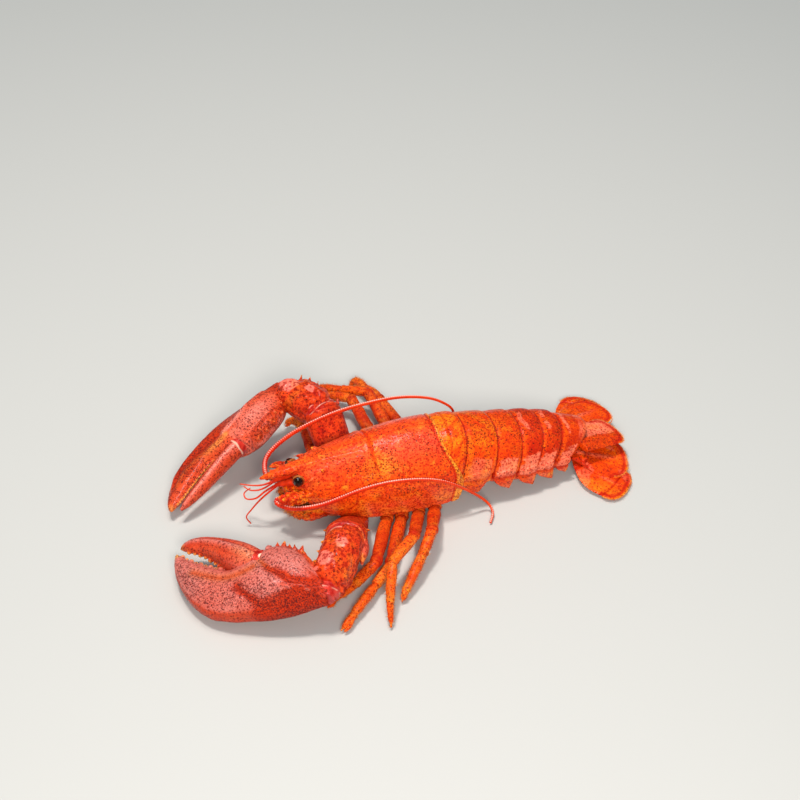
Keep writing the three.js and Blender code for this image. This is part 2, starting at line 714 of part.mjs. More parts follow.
function claw(side, grow = 0) {
  const shape = CLAWS[side];
  const palm = limb(sideways(shape.palm, shape.inner), {
    sides: 12,
    power: shape.power,
    heading: CLAW_HEADING,
    grow,
  });
  const bumps = teeth(shape.palm, shape.fixedTeeth, 1, shape.inner);
  bumps.push(limb(sideways(shape.hinge, shape.inner), { sides: 6, steps: 1, face: vec(1, 0, 0), grow }));
  const { from, to, count, length, radius } = shape.thorns;
  for (let n = 0; n < count; n++) {
    const x = mix(from, to, n / (count - 1));
    const root = vec(x, shape.inner * (edgeAt(shape.palm, x, 1) - 1.4), 3.5);
    bumps.push(thorn(root, vec(0.5, shape.inner, 0.35), length, radius));
  }
  return join(palm, ...bumps);
}

function clawFinger(side, grow = 0) {
  const shape = CLAWS[side];
  const finger = limb(sideways(shape.finger, shape.inner), {
    sides: 9,
    power: 2.2,
    heading: CLAW_HEADING,
    grow,
  });
  const bumps = teeth(shape.finger, shape.fingerTeeth, -1, shape.inner);
  return join(finger, ...bumps);
}

// Walking legs: the joints from the body out, [x, y, z], and whether the leg ends in a small pincer.
const LEGS = {
  leg_left_1: {
    joints: [
      [-6, -6, 5], [-8.5, -20, 5.5], [-14.7, -68, 13],
      [-27.5, -82, 8], [-39.5, -90.5, 4.6], [-46, -95, 2.6],
    ],
    pincer: true,
  },
  leg_left_2: {
    joints: [
      [3, -5, 5], [1, -18, 5], [-5.6, -63, 6.5],
      [-14.7, -80.5, 6], [-29, -107, 4.5], [-35.5, -116, 2.4],
    ],
    pincer: true,
  },
  leg_left_3: {
    joints: [
      [13, -1, 5], [12, -14, 5.5], [8.7, -53, 21],
      [-4.6, -74.5, 19.5], [-6, -99, 9.5], [-5.2, -113, 2],
    ],
    pincer: false,
  },
  leg_left_4: {
    joints: [[21, 3, 5], [22.5, -9, 5.5], [20, -42, 15.5], [14.4, -59, 12], [3.5, -85, 5], [1.2, -91, 2.2]],
    pincer: false,
  },
  leg_right_1: {
    joints: [[-46, 22, 6.5], [-55, 34, 7], [-63, 62, 9.5], [-64.5, 70, 9.5], [-74, 79, 7], [-79, 78, 4]],
    pincer: true,
  },
  leg_right_2: {
    joints: [[-8, 28, 5], [-12, 42, 6.5], [-33.5, 91, 16.5], [-50, 98, 13], [-80, 104, 6], [-92, 104, 3]],
    pincer: true,
  },
  leg_right_3: {
    joints: [[3, 32, 5], [0, 46, 6.5], [-22, 95.5, 18], [-40, 103, 14.5], [-60, 111.5, 9], [-72, 114, 4]],
    pincer: false,
  },
  leg_right_4: {
    joints: [
      [13, 35, 5], [11, 49, 6.5], [-15, 95, 14],
      [-23.5, 108.5, 11], [-31.5, 122, 8], [-36, 117.5, 3],
    ],
    pincer: false,
  },
};

// A walking leg, thick in its long upper piece, waisted at each joint and pointed at the tip.
function leg(name, grow = 0) {
  const { joints, pincer } = LEGS[name];
  const waist = [4, 4.1, 3.6, 3, 2.3, 0.6];
  const belly = [4.1, 4.5, 3.9, 3.4, 1.7];
  const rows = [];
  joints.forEach((joint, i) => {
    rows.push([...joint, waist[i], waist[i] * 0.86]);
    if (i < joints.length - 1) {
      const middle = joint.map((v, c) => mix(v, joints[i + 1][c], 0.4));
      rows.push([...middle, belly[i], belly[i] * 0.8]);
    }
  });
  const whole = limb(rows, { sides: 7, steps: 1, power: 2.2, grow });
  if (!pincer) return whole;
  const [hand, tip] = joints.slice(-2).map((p) => vec(...p));
  const across = vec(0, 0, 1).cross(tip.clone().sub(hand)).normalize();
  const start = hand.clone().addScaledVector(across, 1);
  const end = tip.clone().lerp(hand, 0.08).addScaledVector(across, 2.4);
  const thumb = limb(
    [
      [...start.toArray(), 1.3, 1.3],
      [...start.clone().lerp(end, 0.6).addScaledVector(across, 0.9).toArray(), 1.2, 1.2],
      [...end.toArray(), 0.5, 0.5],
    ],
    { sides: 5, steps: 1, grow },
  );
  return join(whole, thumb);
}

// Long feelers: the route of each whip over the table, from its base to its tip.
const FEELERS = {
  left: [
    [-75.6, -21.5, 24], [-77.9, -20.6, 22.4], [-76.4, -23.4, 21], [-66, -26.6, 20.4], [-48, -27.2, 24.5],
    [-22, -22.6, 33.5], [0, -18, 36], [23.4, -11.6, 31], [41, -7.5, 20.5], [54.8, -4.4, 7.7],
    [59.6, -9.6, 3], [57.9, -19, 1.8],
  ],
  right: [
    [-84.6, -2.6, 24.5], [-86.9, 5.8, 26], [-85.8, 14, 29], [-78.8, 21.4, 33.5], [-65.2, 27.3, 41],
    [-44, 34.6, 48], [-22.7, 41.5, 50.8], [-1, 49.6, 49.8], [19, 55.6, 44.5], [32, 57.6, 36.5],
    [35.4, 58.8, 28.6], [30.4, 60.5, 23.5], [24.5, 63.5, 21.5],
  ],
};
const FEELER_RADIUS = 1.75;

function feeler(side, grow = 0) {
  const route = FEELERS[side];
  const rows = route.map((p, i) => {
    const radius = mix(FEELER_RADIUS, 0.65, (i / (route.length - 1)) ** 0.8);
    return [...p, radius, radius];
  });
  return limb(rows, { sides: 5, steps: 3, grow });
}

// ---- the whole animal ---------------------------------------------------------------------------

const lobster = new THREE.Group();
const body = new THREE.Group();
body.position.set(...BODY_PLACE, 0);
body.rotation.z = THREE.MathUtils.degToRad(BODY_HEADING);
const tail = new THREE.Group();
tail.rotation.z = THREE.MathUtils.degToRad(TAIL_BEND);
body.add(tail);
lobster.add(body);
const clawGroup = {};
for (const side of ["left", "right"]) {
  clawGroup[side] = new THREE.Group();
  clawGroup[side].applyMatrix4(clawFrame(CLAWS[side]));
  lobster.add(clawGroup[side]);
}
lobster.updateMatrixWorld(true);

// Adds one shell piece to its group. The maker takes a growth, and the piece stands clear of those named.
const placed = {};
function piece(name, maker, group, material, clearOf = []) {
  placed[name] = (grow) => maker(grow).transform(group.matrixWorld.elements);
  const cut = clearOf.reduce((solid, other) => solid.subtract(placed[other](GAP)), placed[name](0));
  const local = largest(cut).transform(group.matrixWorld.clone().invert().elements);
  const mesh = new THREE.Mesh(toGeometry(local), material);
  mesh.name = name;
  group.add(mesh);
}

piece("carapace", carapace, body, SHELL_RED);
piece("breastplate", breastplate, body, UNDERSIDE, ["carapace"]);
RINGS.forEach((_, n) => {
  const before = n < 2 ? ["carapace", "breastplate"] : [];
  if (n > 0) before.push(`tail_ring_${n}`);
  piece(`tail_ring_${n + 1}`, (grow) => tailPlate(n, grow), tail, SHELL_ORANGE, before);
});
const fan = [];
for (const name of Object.keys(BLADES)) {
  piece(name, (grow) => blade(name, grow), tail, SHELL_ORANGE, ["tail_ring_6", ...fan]);
  fan.push(name);
}
const head = ["carapace", "breastplate"];
for (const [side, sign] of [["left", -1], ["right", 1]]) {
  piece(`feelerets_${side}`, (grow) => feelerets(sign, grow), body, FEELER_RED, head);
  head.push(`feelerets_${side}`);
}
piece("face", face, body, SHELL_ORANGE, head);
head.push("face");
for (const [side, sign] of [["left", -1], ["right", 1]]) {
  piece(`eye_${side}`, (grow) => eye(sign, grow), body, EYE_BLACK, head);
  piece(`feeler_base_${side}`, (grow) => feelerBase(sign, grow), body, SHELL_RED, [...head, `eye_${side}`]);
  head.push(`feeler_base_${side}`);
  piece(`jaw_foot_${side}`, (grow) => jawFoot(sign, grow), body, SHELL_RED, head);
  head.push(`jaw_foot_${side}`);
}
for (const side of ["left", "right"]) {
  piece(`upper_arm_${side}`, (grow) => upperArm(side, grow), lobster, SHELL_RED, [
    "carapace",
    "breastplate",
    `jaw_foot_${side}`,
  ]);
  piece(`wrist_${side}`, (grow) => wristPiece(side, grow), lobster, SHELL_RED, [`upper_arm_${side}`]);
  piece(`claw_finger_${side}`, (grow) => clawFinger(side, grow), clawGroup[side], CLAW_RED);
  piece(`claw_${side}`, (grow) => claw(side, grow), clawGroup[side], CLAW_RED, [
    `wrist_${side}`,
    `claw_finger_${side}`,
  ]);
}
const legs = [];
for (const name of Object.keys(LEGS)) {
  const side = name.includes("left") ? "left" : "right";
  piece(name, (grow) => leg(name, grow), lobster, SHELL_ORANGE, [
    "carapace",
    "breastplate",
    `upper_arm_${side}`,
    `wrist_${side}`,
    `claw_${side}`,
    ...legs,
  ]);
  legs.push(name);
}
for (const side of ["left", "right"])
  piece(`feeler_${side}`, (grow) => feeler(side, grow), lobster, FEELER_RED, [
    "carapace",
    `feeler_base_${side}`,
    "tail_ring_1",
    "tail_ring_2",
  ]);

// The origin goes under the middle of the animal's outline, on the table.
const box = new THREE.Box3().setFromObject(lobster, true);
lobster.position.set(-(box.min.x + box.max.x) / 2, -(box.min.y + box.max.y) / 2, -box.min.z);

export default lobster;
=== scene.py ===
"""A whole cooked American lobster lying flat on its belly on a pale table.

The animal is built in millimetres: the head points to -X, the tail fan to +X, its left side to -Y.
Each shell piece is lofted in its own frame, carved, put in its place and only then turned to metres.
"""

import bpy
import numpy as np
from mathutils import Matrix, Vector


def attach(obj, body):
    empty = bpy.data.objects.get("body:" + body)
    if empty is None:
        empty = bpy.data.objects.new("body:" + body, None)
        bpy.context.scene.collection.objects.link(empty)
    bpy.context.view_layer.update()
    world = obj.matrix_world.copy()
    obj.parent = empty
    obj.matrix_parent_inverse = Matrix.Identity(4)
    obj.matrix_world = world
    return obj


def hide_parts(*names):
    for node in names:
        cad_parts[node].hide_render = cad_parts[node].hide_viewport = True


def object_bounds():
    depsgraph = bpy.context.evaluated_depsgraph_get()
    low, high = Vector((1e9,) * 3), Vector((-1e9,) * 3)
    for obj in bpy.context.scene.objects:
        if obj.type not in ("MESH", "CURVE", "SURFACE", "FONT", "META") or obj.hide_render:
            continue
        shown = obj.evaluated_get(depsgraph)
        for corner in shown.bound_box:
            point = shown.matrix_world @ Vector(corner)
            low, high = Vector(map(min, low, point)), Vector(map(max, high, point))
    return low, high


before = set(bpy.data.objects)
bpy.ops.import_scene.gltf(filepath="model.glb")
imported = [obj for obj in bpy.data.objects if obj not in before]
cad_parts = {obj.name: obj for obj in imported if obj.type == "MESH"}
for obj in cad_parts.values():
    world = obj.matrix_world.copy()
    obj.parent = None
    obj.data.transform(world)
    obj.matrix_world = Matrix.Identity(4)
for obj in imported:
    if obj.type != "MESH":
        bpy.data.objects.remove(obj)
CAD_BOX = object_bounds()

# ---- driving dimensions, in millimetres ----------------------------------------------------------

MM = 0.001
BODY_HEADING = 18.5  # degrees, the body is turned so that the tail lies further back
TAIL_BEND = 0.5  # degrees, the tail's turn against the carapace
BODY_PLACE = (21.7, 21.1, 0)  # rear edge of the carapace
OUTLINE_CENTRE = (1.31, 3.337, 0)  # middle of the whole outline, where the origin is
SHIELD_LENGTH = 93  # carapace from the eye sockets to its rear edge
SHIELD_HALF_WIDTH = 31
SHIELD_LOW = 7
SHIELD_TOP = 54
ARCH_POWER = 1.74  # below 2 the back is narrower than an ellipse
WAIST_SHARE = 0.36  # height of the shield's widest line
REAR_LOBE = 10
FLANK_TUCK = 0.06
ROSTRUM_LENGTH = 23
BELLY_HEIGHT = 9.5
FAN_ROOT = 102
BLADE_HALF_THICKNESS = 1.15
FRINGE_LENGTH = 1.5
FEELER_RADIUS = 1.75
EYE_RADIUS = 3.5
BOX_MARGIN = 0.02  # how far every piece stays inside the whole's size
EYE_PLACE = (-SHIELD_LENGTH - 0.5, 9.4, SHIELD_TOP - 18.8)  # on the animal's right, mirrored for the left

SIDES = {"left": -1, "right": 1}


# ---- small helpers -------------------------------------------------------------------------------


def vec(*values):
    return np.array(values, float)


def unit(v):
    return np.asarray(v, float) / np.linalg.norm(v)


def fade(value, low, high):
    """0 below low and 1 above high, smoothly; low may be the greater."""
    t = np.clip((value - low) / (high - low), 0, 1)
    return t * t * (3 - 2 * t)


def bell(distance, width):
    return np.exp(-((distance / width) ** 2))


def rounded(c, power):
    return np.sign(c) * np.abs(c) ** (2 / power)


def drift(points, size, seed):
    """A slow wander between about -1 and 1 over the surface, the same on every run."""
    rng = np.random.default_rng(seed)
    total = np.zeros(len(points))
    for _ in range(7):
        total += np.sin(points @ (rng.normal(size=3) * 2 / size) + rng.uniform(0, 2 * np.pi))
    return total / 3.5


def between(rows, steps):
    """A station table with `steps` times as many rows, by a Catmull-Rom curve through each column."""
    rows = np.asarray(rows, float)
    ends = np.vstack([rows[:1], rows, rows[-1:]])
    t = (np.arange(steps) / steps)[:, None]
    parts = []
    for i in range(len(rows) - 1):
        p, q, r, s = ends[i : i + 4]
        slope, bend, twist = r - p, 2 * p - 5 * q + 4 * r - s, 3 * q - p - 3 * r + s
        parts.append(0.5 * (2 * q + slope * t + bend * t**2 + twist * t**3))
    return np.vstack([*parts, rows[-1:]])


def traced(points, path):
    """Each point's distance from an open path, and how far along the path it lies, from 0 to 1."""
    best, share = np.full(len(points), np.inf), np.zeros(len(points))
    for i, (a, b) in enumerate(zip(path[:-1], path[1:])):
        along = b - a
        t = np.clip(((points - a) @ along) / (along @ along), 0, 1)
        far = np.linalg.norm(points - a - t[:, None] * along, axis=1)
        share = np.where(far < best, (i + t) / (len(path) - 1), share)
        best = np.minimum(best, far)
    return best, share


def distance_to(points, path):
    return traced(points, path)[0]


def along_path(points, path):
    return traced(points, path)[1]


def nearest(points, places):
    """How far each point is from the nearest of some places."""
    return np.min([np.linalg.norm(points - place, axis=1) for place in places], 0)


def mirrored(rows, side):
    """A station table with its y kept for side 1 and turned round for side -1."""
    return [[x, side * y, *rest] for x, y, *rest in rows]


def level_face(way):
    """The face direction for a small round piece that points along `way`."""
    return (0, 0, 1) if abs(way[2]) < 0.9 else (0, 1, 0)


# ---- skins: (points, faces) ----------------------------------------------------------------------


def loft(rings):
    """A closed skin through equal rings of points, with a fan over each end, facing out."""
    rings = np.asarray(rings, float)
    count, sides = rings.shape[:2]
    points = np.vstack([rings.reshape(-1, 3), rings[0].mean(0), rings[-1].mean(0)])
    first, last = count * sides, count * sides + 1
    j = np.arange(sides)
    k = (j + 1) % sides
    start = (np.arange(count - 1) * sides)[:, None]
    quads = np.stack([start + j, start + k, start + sides + k, start + sides + j], -1).reshape(-1, 4)
    rear = (count - 1) * sides
    front_cap = np.stack([np.full(sides, first), k, j], -1)
    rear_cap = np.stack([np.full(sides, last), rear + j, rear + k], -1)
    caps = np.vstack([front_cap, rear_cap])
    corners = points[np.vstack([caps, quads[:, :3], quads[:, [0, 2, 3]]])]
    if np.einsum("ij,ij->i", corners[:, 0], np.cross(corners[:, 1], corners[:, 2])).sum() < 0:
        quads, caps = quads[:, ::-1], caps[:, ::-1]
    return points, quads.tolist() + caps.tolist()


def limb(stations, sides=48, steps=6, power=2.0, face=(0, 0, 1), heading=None):
    """A limb, finger or plate: stations [x, y, z, half width, half thickness] joined into one skin.

    The rings stand square to the run of their centres, or all to `heading` where it is given.
    """
    rows = between(stations, steps)
    centres = rows[:, :3]
    along = np.vstack([centres[1:], centres[-1:]]) - np.vstack([centres[:1], centres[:-1]])
    if heading is not None:
        along[:] = heading
    along /= np.linalg.norm(along, axis=1, keepdims=True)
    across = np.cross(np.asarray(face, float), along)
    across /= np.linalg.norm(across, axis=1, keepdims=True)
    out = np.cross(along, across)
    turn = 2 * np.pi * (np.arange(sides) + 0.5) / sides
    c, s = rounded(np.cos(turn), power), rounded(np.sin(turn), power)
    width, thick = np.maximum(rows[:, 3], 0.05), np.maximum(rows[:, 4], 0.05)
    rings = (
        centres[:, None]
        + across[:, None] * (width[:, None] * c)[..., None]
        + out[:, None] * (thick[:, None] * s)[..., None]
    )
    return loft(rings)


def spine(root, way, length, radius, sides=10):
    """A thorn that starts inside the shell and curves a little towards its point."""
    root, way = np.asarray(root, float), unit(way)
    aside = unit(np.cross(way, (0.3, 0.9, 0.4)))
    rows = [
        [*(root + way * length * t + aside * length * 0.1 * t**2), r, r]
        for t, r in zip((-0.5, -0.1, 0.3, 0.7, 1), radius * vec(1.1, 0.95, 0.6, 0.3, 0.06))
    ]
    return limb(rows, sides, 2, face=level_face(way))


def knob(place, radii, way=(0, 0, 1)):
    """A rounded lump: an egg with its third radius along `way`."""
    turn = np.linspace(-0.5, 0.5, 9) * np.pi
    place, way = np.asarray(place, float), unit(way)
    rows = [
        [*(place + way * radii[2] * np.sin(t)), radii[0] * np.cos(t) + 0.03, radii[1] * np.cos(t) + 0.03]
        for t in turn
    ]
    return limb(rows, 16, 1, face=level_face(way))


def merged(skins):
    points = np.vstack([p for p, _ in skins])
    faces, start = [], 0
    for p, f in skins:
        faces += [[i + start for i in face] for face in f]
        start += len(p)
    return points, faces


# ---- meshes --------------------------------------------------------------------------------------


def new_mesh(name, points, faces=(), edges=()):
    mesh = bpy.data.meshes.new(name)
    mesh.from_pydata(np.asarray(points).tolist(), edges, faces)
    return mesh


def chain(name, path):
    """A mesh of points joined one to the next."""
    return new_mesh(name, path, edges=[(i, i + 1) for i in range(len(path) - 1)])


def with_object(data):
    obj = bpy.data.objects.new(data.name, data)
    bpy.context.scene.collection.objects.link(obj)
    return obj


def baked(obj):
    """The plain mesh that an object's modifiers make of it. The object is removed."""
    graph = bpy.context.evaluated_depsgraph_get()
    mesh = bpy.data.meshes.new_from_object(
        obj.evaluated_get(graph), preserve_all_data_layers=True, depsgraph=graph
    )
    bpy.data.objects.remove(obj)
    return mesh


def points_of(mesh):
    out = np.empty(len(mesh.vertices) * 3, np.float32)
    mesh.vertices.foreach_get("co", out)
    return out.reshape(-1, 3).astype(float)


def normals_of(mesh):
    out = np.empty(len(mesh.vertices) * 3, np.float32)
    mesh.vertex_normals.foreach_get("vector", out)
    return out.reshape(-1, 3).astype(float)


def move_to(mesh, points):
    mesh.vertices.foreach_set("co", np.asarray(points, np.float32).ravel())
    mesh.update()


RELAX_STEPS = (0.5, -0.52)  # each round draws the points together and then lets them out again


def relax(mesh, rounds):
    """Evens out a mesh without shrinking it."""
    edges = np.empty(len(mesh.edges) * 2, np.int32)
    mesh.edges.foreach_get("vertices", edges)
    a, b = edges.reshape(-1, 2).T
    points = points_of(mesh)
    count = len(points)
    links = np.maximum(np.bincount(a, minlength=count) + np.bincount(b, minlength=count), 1)[:, None]
    for _ in range(rounds):
        for share in RELAX_STEPS:
            total = np.empty_like(points)
            for axis in range(3):
                values = points[:, axis]
                total[:, axis] = np.bincount(a, values[b], count) + np.bincount(b, values[a], count)
            points += share * (total / links - points)
    move_to(mesh, points)


def fused(name, skins, voxel, rounds=3):
    """One even skin of small squares round several closed skins."""
    obj = with_object(new_mesh(name, *merged(skins)))
    remesh = obj.modifiers.new("Fuse", "REMESH")
    remesh.mode = "VOXEL"
    remesh.voxel_size = voxel
    mesh = baked(obj)
    relax(mesh, rounds)
    return mesh


def mask(mesh, **values):
    """Named masks from 0 to 1, which the finishes read: one value for the mesh, or one for each point."""
    for name, share in values.items():
        layer = mesh.attributes.get(name) or mesh.attributes.new(name, "FLOAT", "POINT")
        shares = np.broadcast_to(share, len(mesh.vertices))
        layer.data.foreach_set("value", np.clip(shares, 0, 1).astype(np.float32))


def push(mesh, amount):
    """Moves each point along its own normal."""
    move_to(mesh, points_of(mesh) + normals_of(mesh) * np.asarray(amount)[:, None])


# ---- frames --------------------------------------------------------------------------------------


def turned(degrees):
    c, s = np.cos(np.radians(degrees)), np.sin(np.radians(degrees))
    return vec(c, -s, 0, 0, s, c, 0, 0, 0, 0, 1, 0, 0, 0, 0, 1).reshape(4, 4)


def shifted(place):
    out = np.eye(4)
    out[:3, 3] = place
    return out


TABLE = shifted(-vec(*OUTLINE_CENTRE))
BODY = TABLE @ shifted(BODY_PLACE) @ turned(BODY_HEADING)
TAIL = BODY @ turned(TAIL_BEND)


def claw_frame(shape):
    """X along the claw, Z up from its broad face, rolled so that the inner edge is raised."""
    along = unit(vec(*shape["points"]) - vec(*shape["place"]))
    across = unit(np.cross((0, 0, 1), along))
    up = np.cross(along, across)
    roll = np.radians(shape["roll"]) * shape["inner"]
    c, s = np.cos(roll), np.sin(roll)
    out = shifted(shape["place"])
    out[:3, :3] = np.stack([along, across * c + up * s, up * c - across * s], 1)
    return TABLE @ out


# ---- node helpers --------------------------------------------------------------------------------


def node(tree, kind, inputs=None, **settings):
    """A node with its settings and inputs; an input may be a value or another node's output."""
    made = tree.nodes.new(kind)
    for key, value in settings.items():
        setattr(made, key, value)
    for key, value in (inputs or {}).items():
        socket = made.inputs[key]
        if isinstance(value, bpy.types.NodeSocket):
            tree.links.new(value, socket)
        else:
            socket.default_value = value
    return made


def maths(tree, operation, *values, clamp=False):
    settings = {"operation": operation, "use_clamp": clamp}
    return node(tree, "ShaderNodeMath", dict(enumerate(values)), **settings).outputs[0]


def plus(tree, first, *others):
    """The sum of numbers or sockets."""
    for other in others:
        first = maths(tree, "ADD", first, other)
    return first


def minus(tree, first, second):
    return maths(tree, "SUBTRACT", first, second)


def times(tree, first, *others):
    """The product of numbers or sockets."""
    for other in others:
        first = maths(tree, "MULTIPLY", first, other)
    return first


def over(tree, first, second):
    return maths(tree, "DIVIDE", first, second)


def scaled(tree, direction, factor):
    made = node(tree, "ShaderNodeVectorMath", {0: direction, "Scale": factor}, operation="SCALE")
    return made.outputs[0]


def noise(tree, place, scale, detail, **inputs):
    inputs = {"Vector": place, "Scale": scale, "Detail": detail, **inputs}
    return node(tree, "ShaderNodeTexNoise", inputs).outputs[0]


def painted(tree, name):
    """A mask of the mesh, as a finish reads it."""
    return node(tree, "ShaderNodeAttribute", attribute_name=name).outputs["Fac"]


def spread(tree, value, low, high, to_low=0.0, to_high=1.0):
    """value between low and high, smoothly turned into to_low to to_high."""
    inputs = {"Value": value, "From Min": low, "From Max": high, "To Min": to_low, "To Max": to_high}
    return node(tree, "ShaderNodeMapRange", inputs, interpolation_type="SMOOTHSTEP").outputs["Result"]


def blended(tree, share, a, b, how="MIX"):
    made = node(tree, "ShaderNodeMix", {0: share, 6: a, 7: b}, data_type="RGBA", blend_type=how)
    return made.outputs[2]


def colour(code):
    """A colour written as on a paint chart, #rrggbb, in the renderer's own light values."""
    values = [int(code[i : i + 2], 16) / 255 for i in (1, 3, 5)]
    return tuple(v / 12.92 if v <= 0.04045 else ((v + 0.055) / 1.055) ** 2.4 for v in values) + (1.0,)


KINDS = {"value": "NodeSocketFloat", "vector": "NodeSocketVector", "colour": "NodeSocketColor"}


def new_group(name, inputs, outputs, kind="ShaderNodeTree"):
    """A node group: inputs are {name: (kind, default)}, outputs {name: kind}."""
    tree = bpy.data.node_groups.new(name, kind)
    for key, (sort, default) in inputs.items():
        socket = tree.interface.new_socket(key, in_out="INPUT", socket_type=KINDS.get(sort, sort))
        if default is not None:
            socket.default_value = default
    for key, sort in outputs.items():
        tree.interface.new_socket(key, in_out="OUTPUT", socket_type=KINDS.get(sort, sort))
    return tree, tree.nodes.new("NodeGroupInput").outputs, tree.nodes.new("NodeGroupOutput").inputs


# ---- shared effects of the finishes --------------------------------------------------------------


def dots_group():
    """Round dots of uneven size, one in each cell of an uneven grid, in a share of the cells."""
    tree, given, out = new_group(
        "dots",
        {
            "Place": ("vector", None),
            "Spacing": ("value", 2.0),
            "Radius": ("value", 0.4),
            "Coverage": ("value", 0.5),
        },
        {"Mask": "value"},
    )
    scale = over(tree, 1.0, given["Spacing"])
    wobble = noise(tree, given["Place"], 1.3, 1.0)
    uneven = times(tree, minus(tree, wobble, 0.5), 0.5)
    cells = node(tree, "ShaderNodeTexVoronoi", {"Vector": given["Place"], "Scale": scale})
    dice = node(tree, "ShaderNodeSeparateColor", {"Color": cells.outputs["Color"]}).outputs
    size = times(tree, given["Radius"], scale, plus(tree, dice[0], 0.45))
    far = plus(tree, cells.outputs["Distance"], times(tree, uneven, size))
    inside = spread(tree, far, times(tree, size, 1.25), times(tree, size, 0.6))
    chosen = spread(tree, dice[1], given["Coverage"], minus(tree, given["Coverage"], 0.08))
    tree.links.new(times(tree, inside, chosen), out["Mask"])
    return tree


def mottle_group():
    """Soft uneven patches."""
    tree, given, out = new_group(
        "mottle",
        {"Place": ("vector", None), "Size": ("value", 10.0), "Low": ("value", 0.4), "High": ("value", 0.6)},
        {"Mask": "value"},
    )
    scale = over(tree, 1.0, given["Size"])
    cloud = noise(tree, given["Place"], scale, 4.0, Roughness=0.6, Distortion=0.4)
    tree.links.new(spread(tree, cloud, given["Low"], given["High"]), out["Mask"])
    return tree


DOTS = dots_group()
MOTTLE = mottle_group()


def grouped(tree, group, inputs):
    return node(tree, "ShaderNodeGroup", inputs, node_tree=group).outputs


def mottled(tree, place, size, low, high):
    inputs = {"Place": place, "Size": size, "Low": low, "High": high}
    return grouped(tree, MOTTLE, inputs)["Mask"]


def dotted(tree, place, spacing, radius, coverage):
    inputs = {"Place": place, "Spacing": spacing, "Radius": radius, "Coverage": coverage}
    return grouped(tree, DOTS, inputs)["Mask"]


SHELL_COLOURS = ("Ground", "Patch", "Rosy", "Gold", "Deep", "Pit", "Fleck")


def shell_group():
    """The colour of cooked shell: patches of two colours, zones by mask, dark pits and darker flecks."""
    tree, given, out = new_group(
        "shell_skin",
        {
            "Place": ("vector", None),
            **{name: ("colour", None) for name in SHELL_COLOURS},
            "Patch Size": ("value", 14.0),
            "Blotch Share": ("value", 0.4),
            "Warm Share": ("value", 0.28),
            "Pit Spacing": ("value", 1.3),
            "Pit Radius": ("value", 0.62),
            "Pit Coverage": ("value", 0.8),
            "Fleck Spacing": ("value", 1.1),
            "Fleck Radius": ("value", 0.42),
            "Fleck Coverage": ("value", 0.1),
        },
        {"Color": "colour", "Roughness": "value", "Height": "value", "Gloss": "value"},
    )
    place = given["Place"]
    zone = {name: painted(tree, name) for name in ("rosy", "gold", "deep", "fleck")}
    patch = mottled(tree, place, given["Patch Size"], 0.38, 0.66)
    grain = mottled(tree, place, 1.8, 0.3, 0.75)
    fine = mottled(tree, place, 0.9, 0.42, 0.68)
    blotch = mottled(tree, place, 4.5, 0.5, 0.66)
    aside = node(tree, "ShaderNodeVectorMath", {0: place, 1: (37.0, 11.0, 5.0)}, operation="ADD").outputs[0]
    warm = mottled(tree, aside, 5.5, 0.54, 0.7)
    base = blended(tree, patch, given["Ground"], given["Patch"])
    base = blended(tree, times(tree, grain, 0.5), base, given["Patch"])
    base = blended(tree, times(tree, blotch, given["Blotch Share"]), base, given["Deep"])
    base = blended(tree, times(tree, warm, given["Warm Share"]), base, given["Gold"])
    # The rosy zone is mostly painted highlight and painted sheen, laid on as colour; in places it is the
    # shell's own pink tone.
    for name in ("rosy", "gold", "deep"):
        ragged = plus(tree, times(tree, grain, 0.35), 0.72)
        share = maths(tree, "MULTIPLY", zone[name], ragged, clamp=True)
        base = blended(tree, share, base, given[name.title()])
    base = blended(tree, times(tree, fine, 0.5), base, given["Pit"])
    veil = times(tree, fine, zone["fleck"], 0.5)
    base = blended(tree, veil, base, given["Fleck"])
    covered = plus(tree, given["Pit Coverage"], times(tree, zone["fleck"], 0.3))
    pits = dotted(tree, place, given["Pit Spacing"], given["Pit Radius"], covered)
    base = blended(tree, times(tree, pits, 0.75), base, given["Pit"])
    flecked = plus(tree, given["Fleck Coverage"], times(tree, zone["fleck"], 1.2))
    flecks = dotted(tree, aside, given["Fleck Spacing"], given["Fleck Radius"], flecked)
    base = blended(tree, times(tree, flecks, 0.85), base, given["Fleck"])
    tree.links.new(base, out["Color"])
    rough = plus(tree, times(tree, grain, 0.1), times(tree, pits, 0.16), times(tree, zone["deep"], 0.1), 0.36)
    tree.links.new(rough, out["Roughness"])
    tree.links.new(minus(tree, 1.0, times(tree, zone["deep"], 0.85)), out["Gloss"])
    ripple = noise(tree, place, 0.9, 2.0)
    height = minus(tree, times(tree, ripple, 0.4), times(tree, pits, 0.3))
    tree.links.new(height, out["Height"])
    return tree


SHELL_SKIN = shell_group()


# ---- finishes ------------------------------------------------------------------------------------


def new_finish(name):
    """A material with its shader, and the place on the surface in millimetres."""
    material = bpy.data.materials.new(name)
    material.use_nodes = True
    tree = material.node_tree
    shader = tree.nodes["Principled BSDF"]
    place = scaled(tree, node(tree, "ShaderNodeTexCoord").outputs["Object"], 1 / MM)
    return material, tree, shader, place


def even(shader, **values):
    """Values that are the same all over a finish, named as the shader's sockets with _ for spaces."""
    for name, value in values.items():
        shader.inputs[name.replace("_", " ")].default_value = value


def bumped(tree, shader, height, depth):
    """Relief of `depth` millimetres from a height between 0 and 1."""
    inputs = {"Height": height, "Distance": depth * MM, "Strength": 1.0}
    tree.links.new(node(tree, "ShaderNodeBump", inputs).outputs[0], shader.inputs["Normal"])


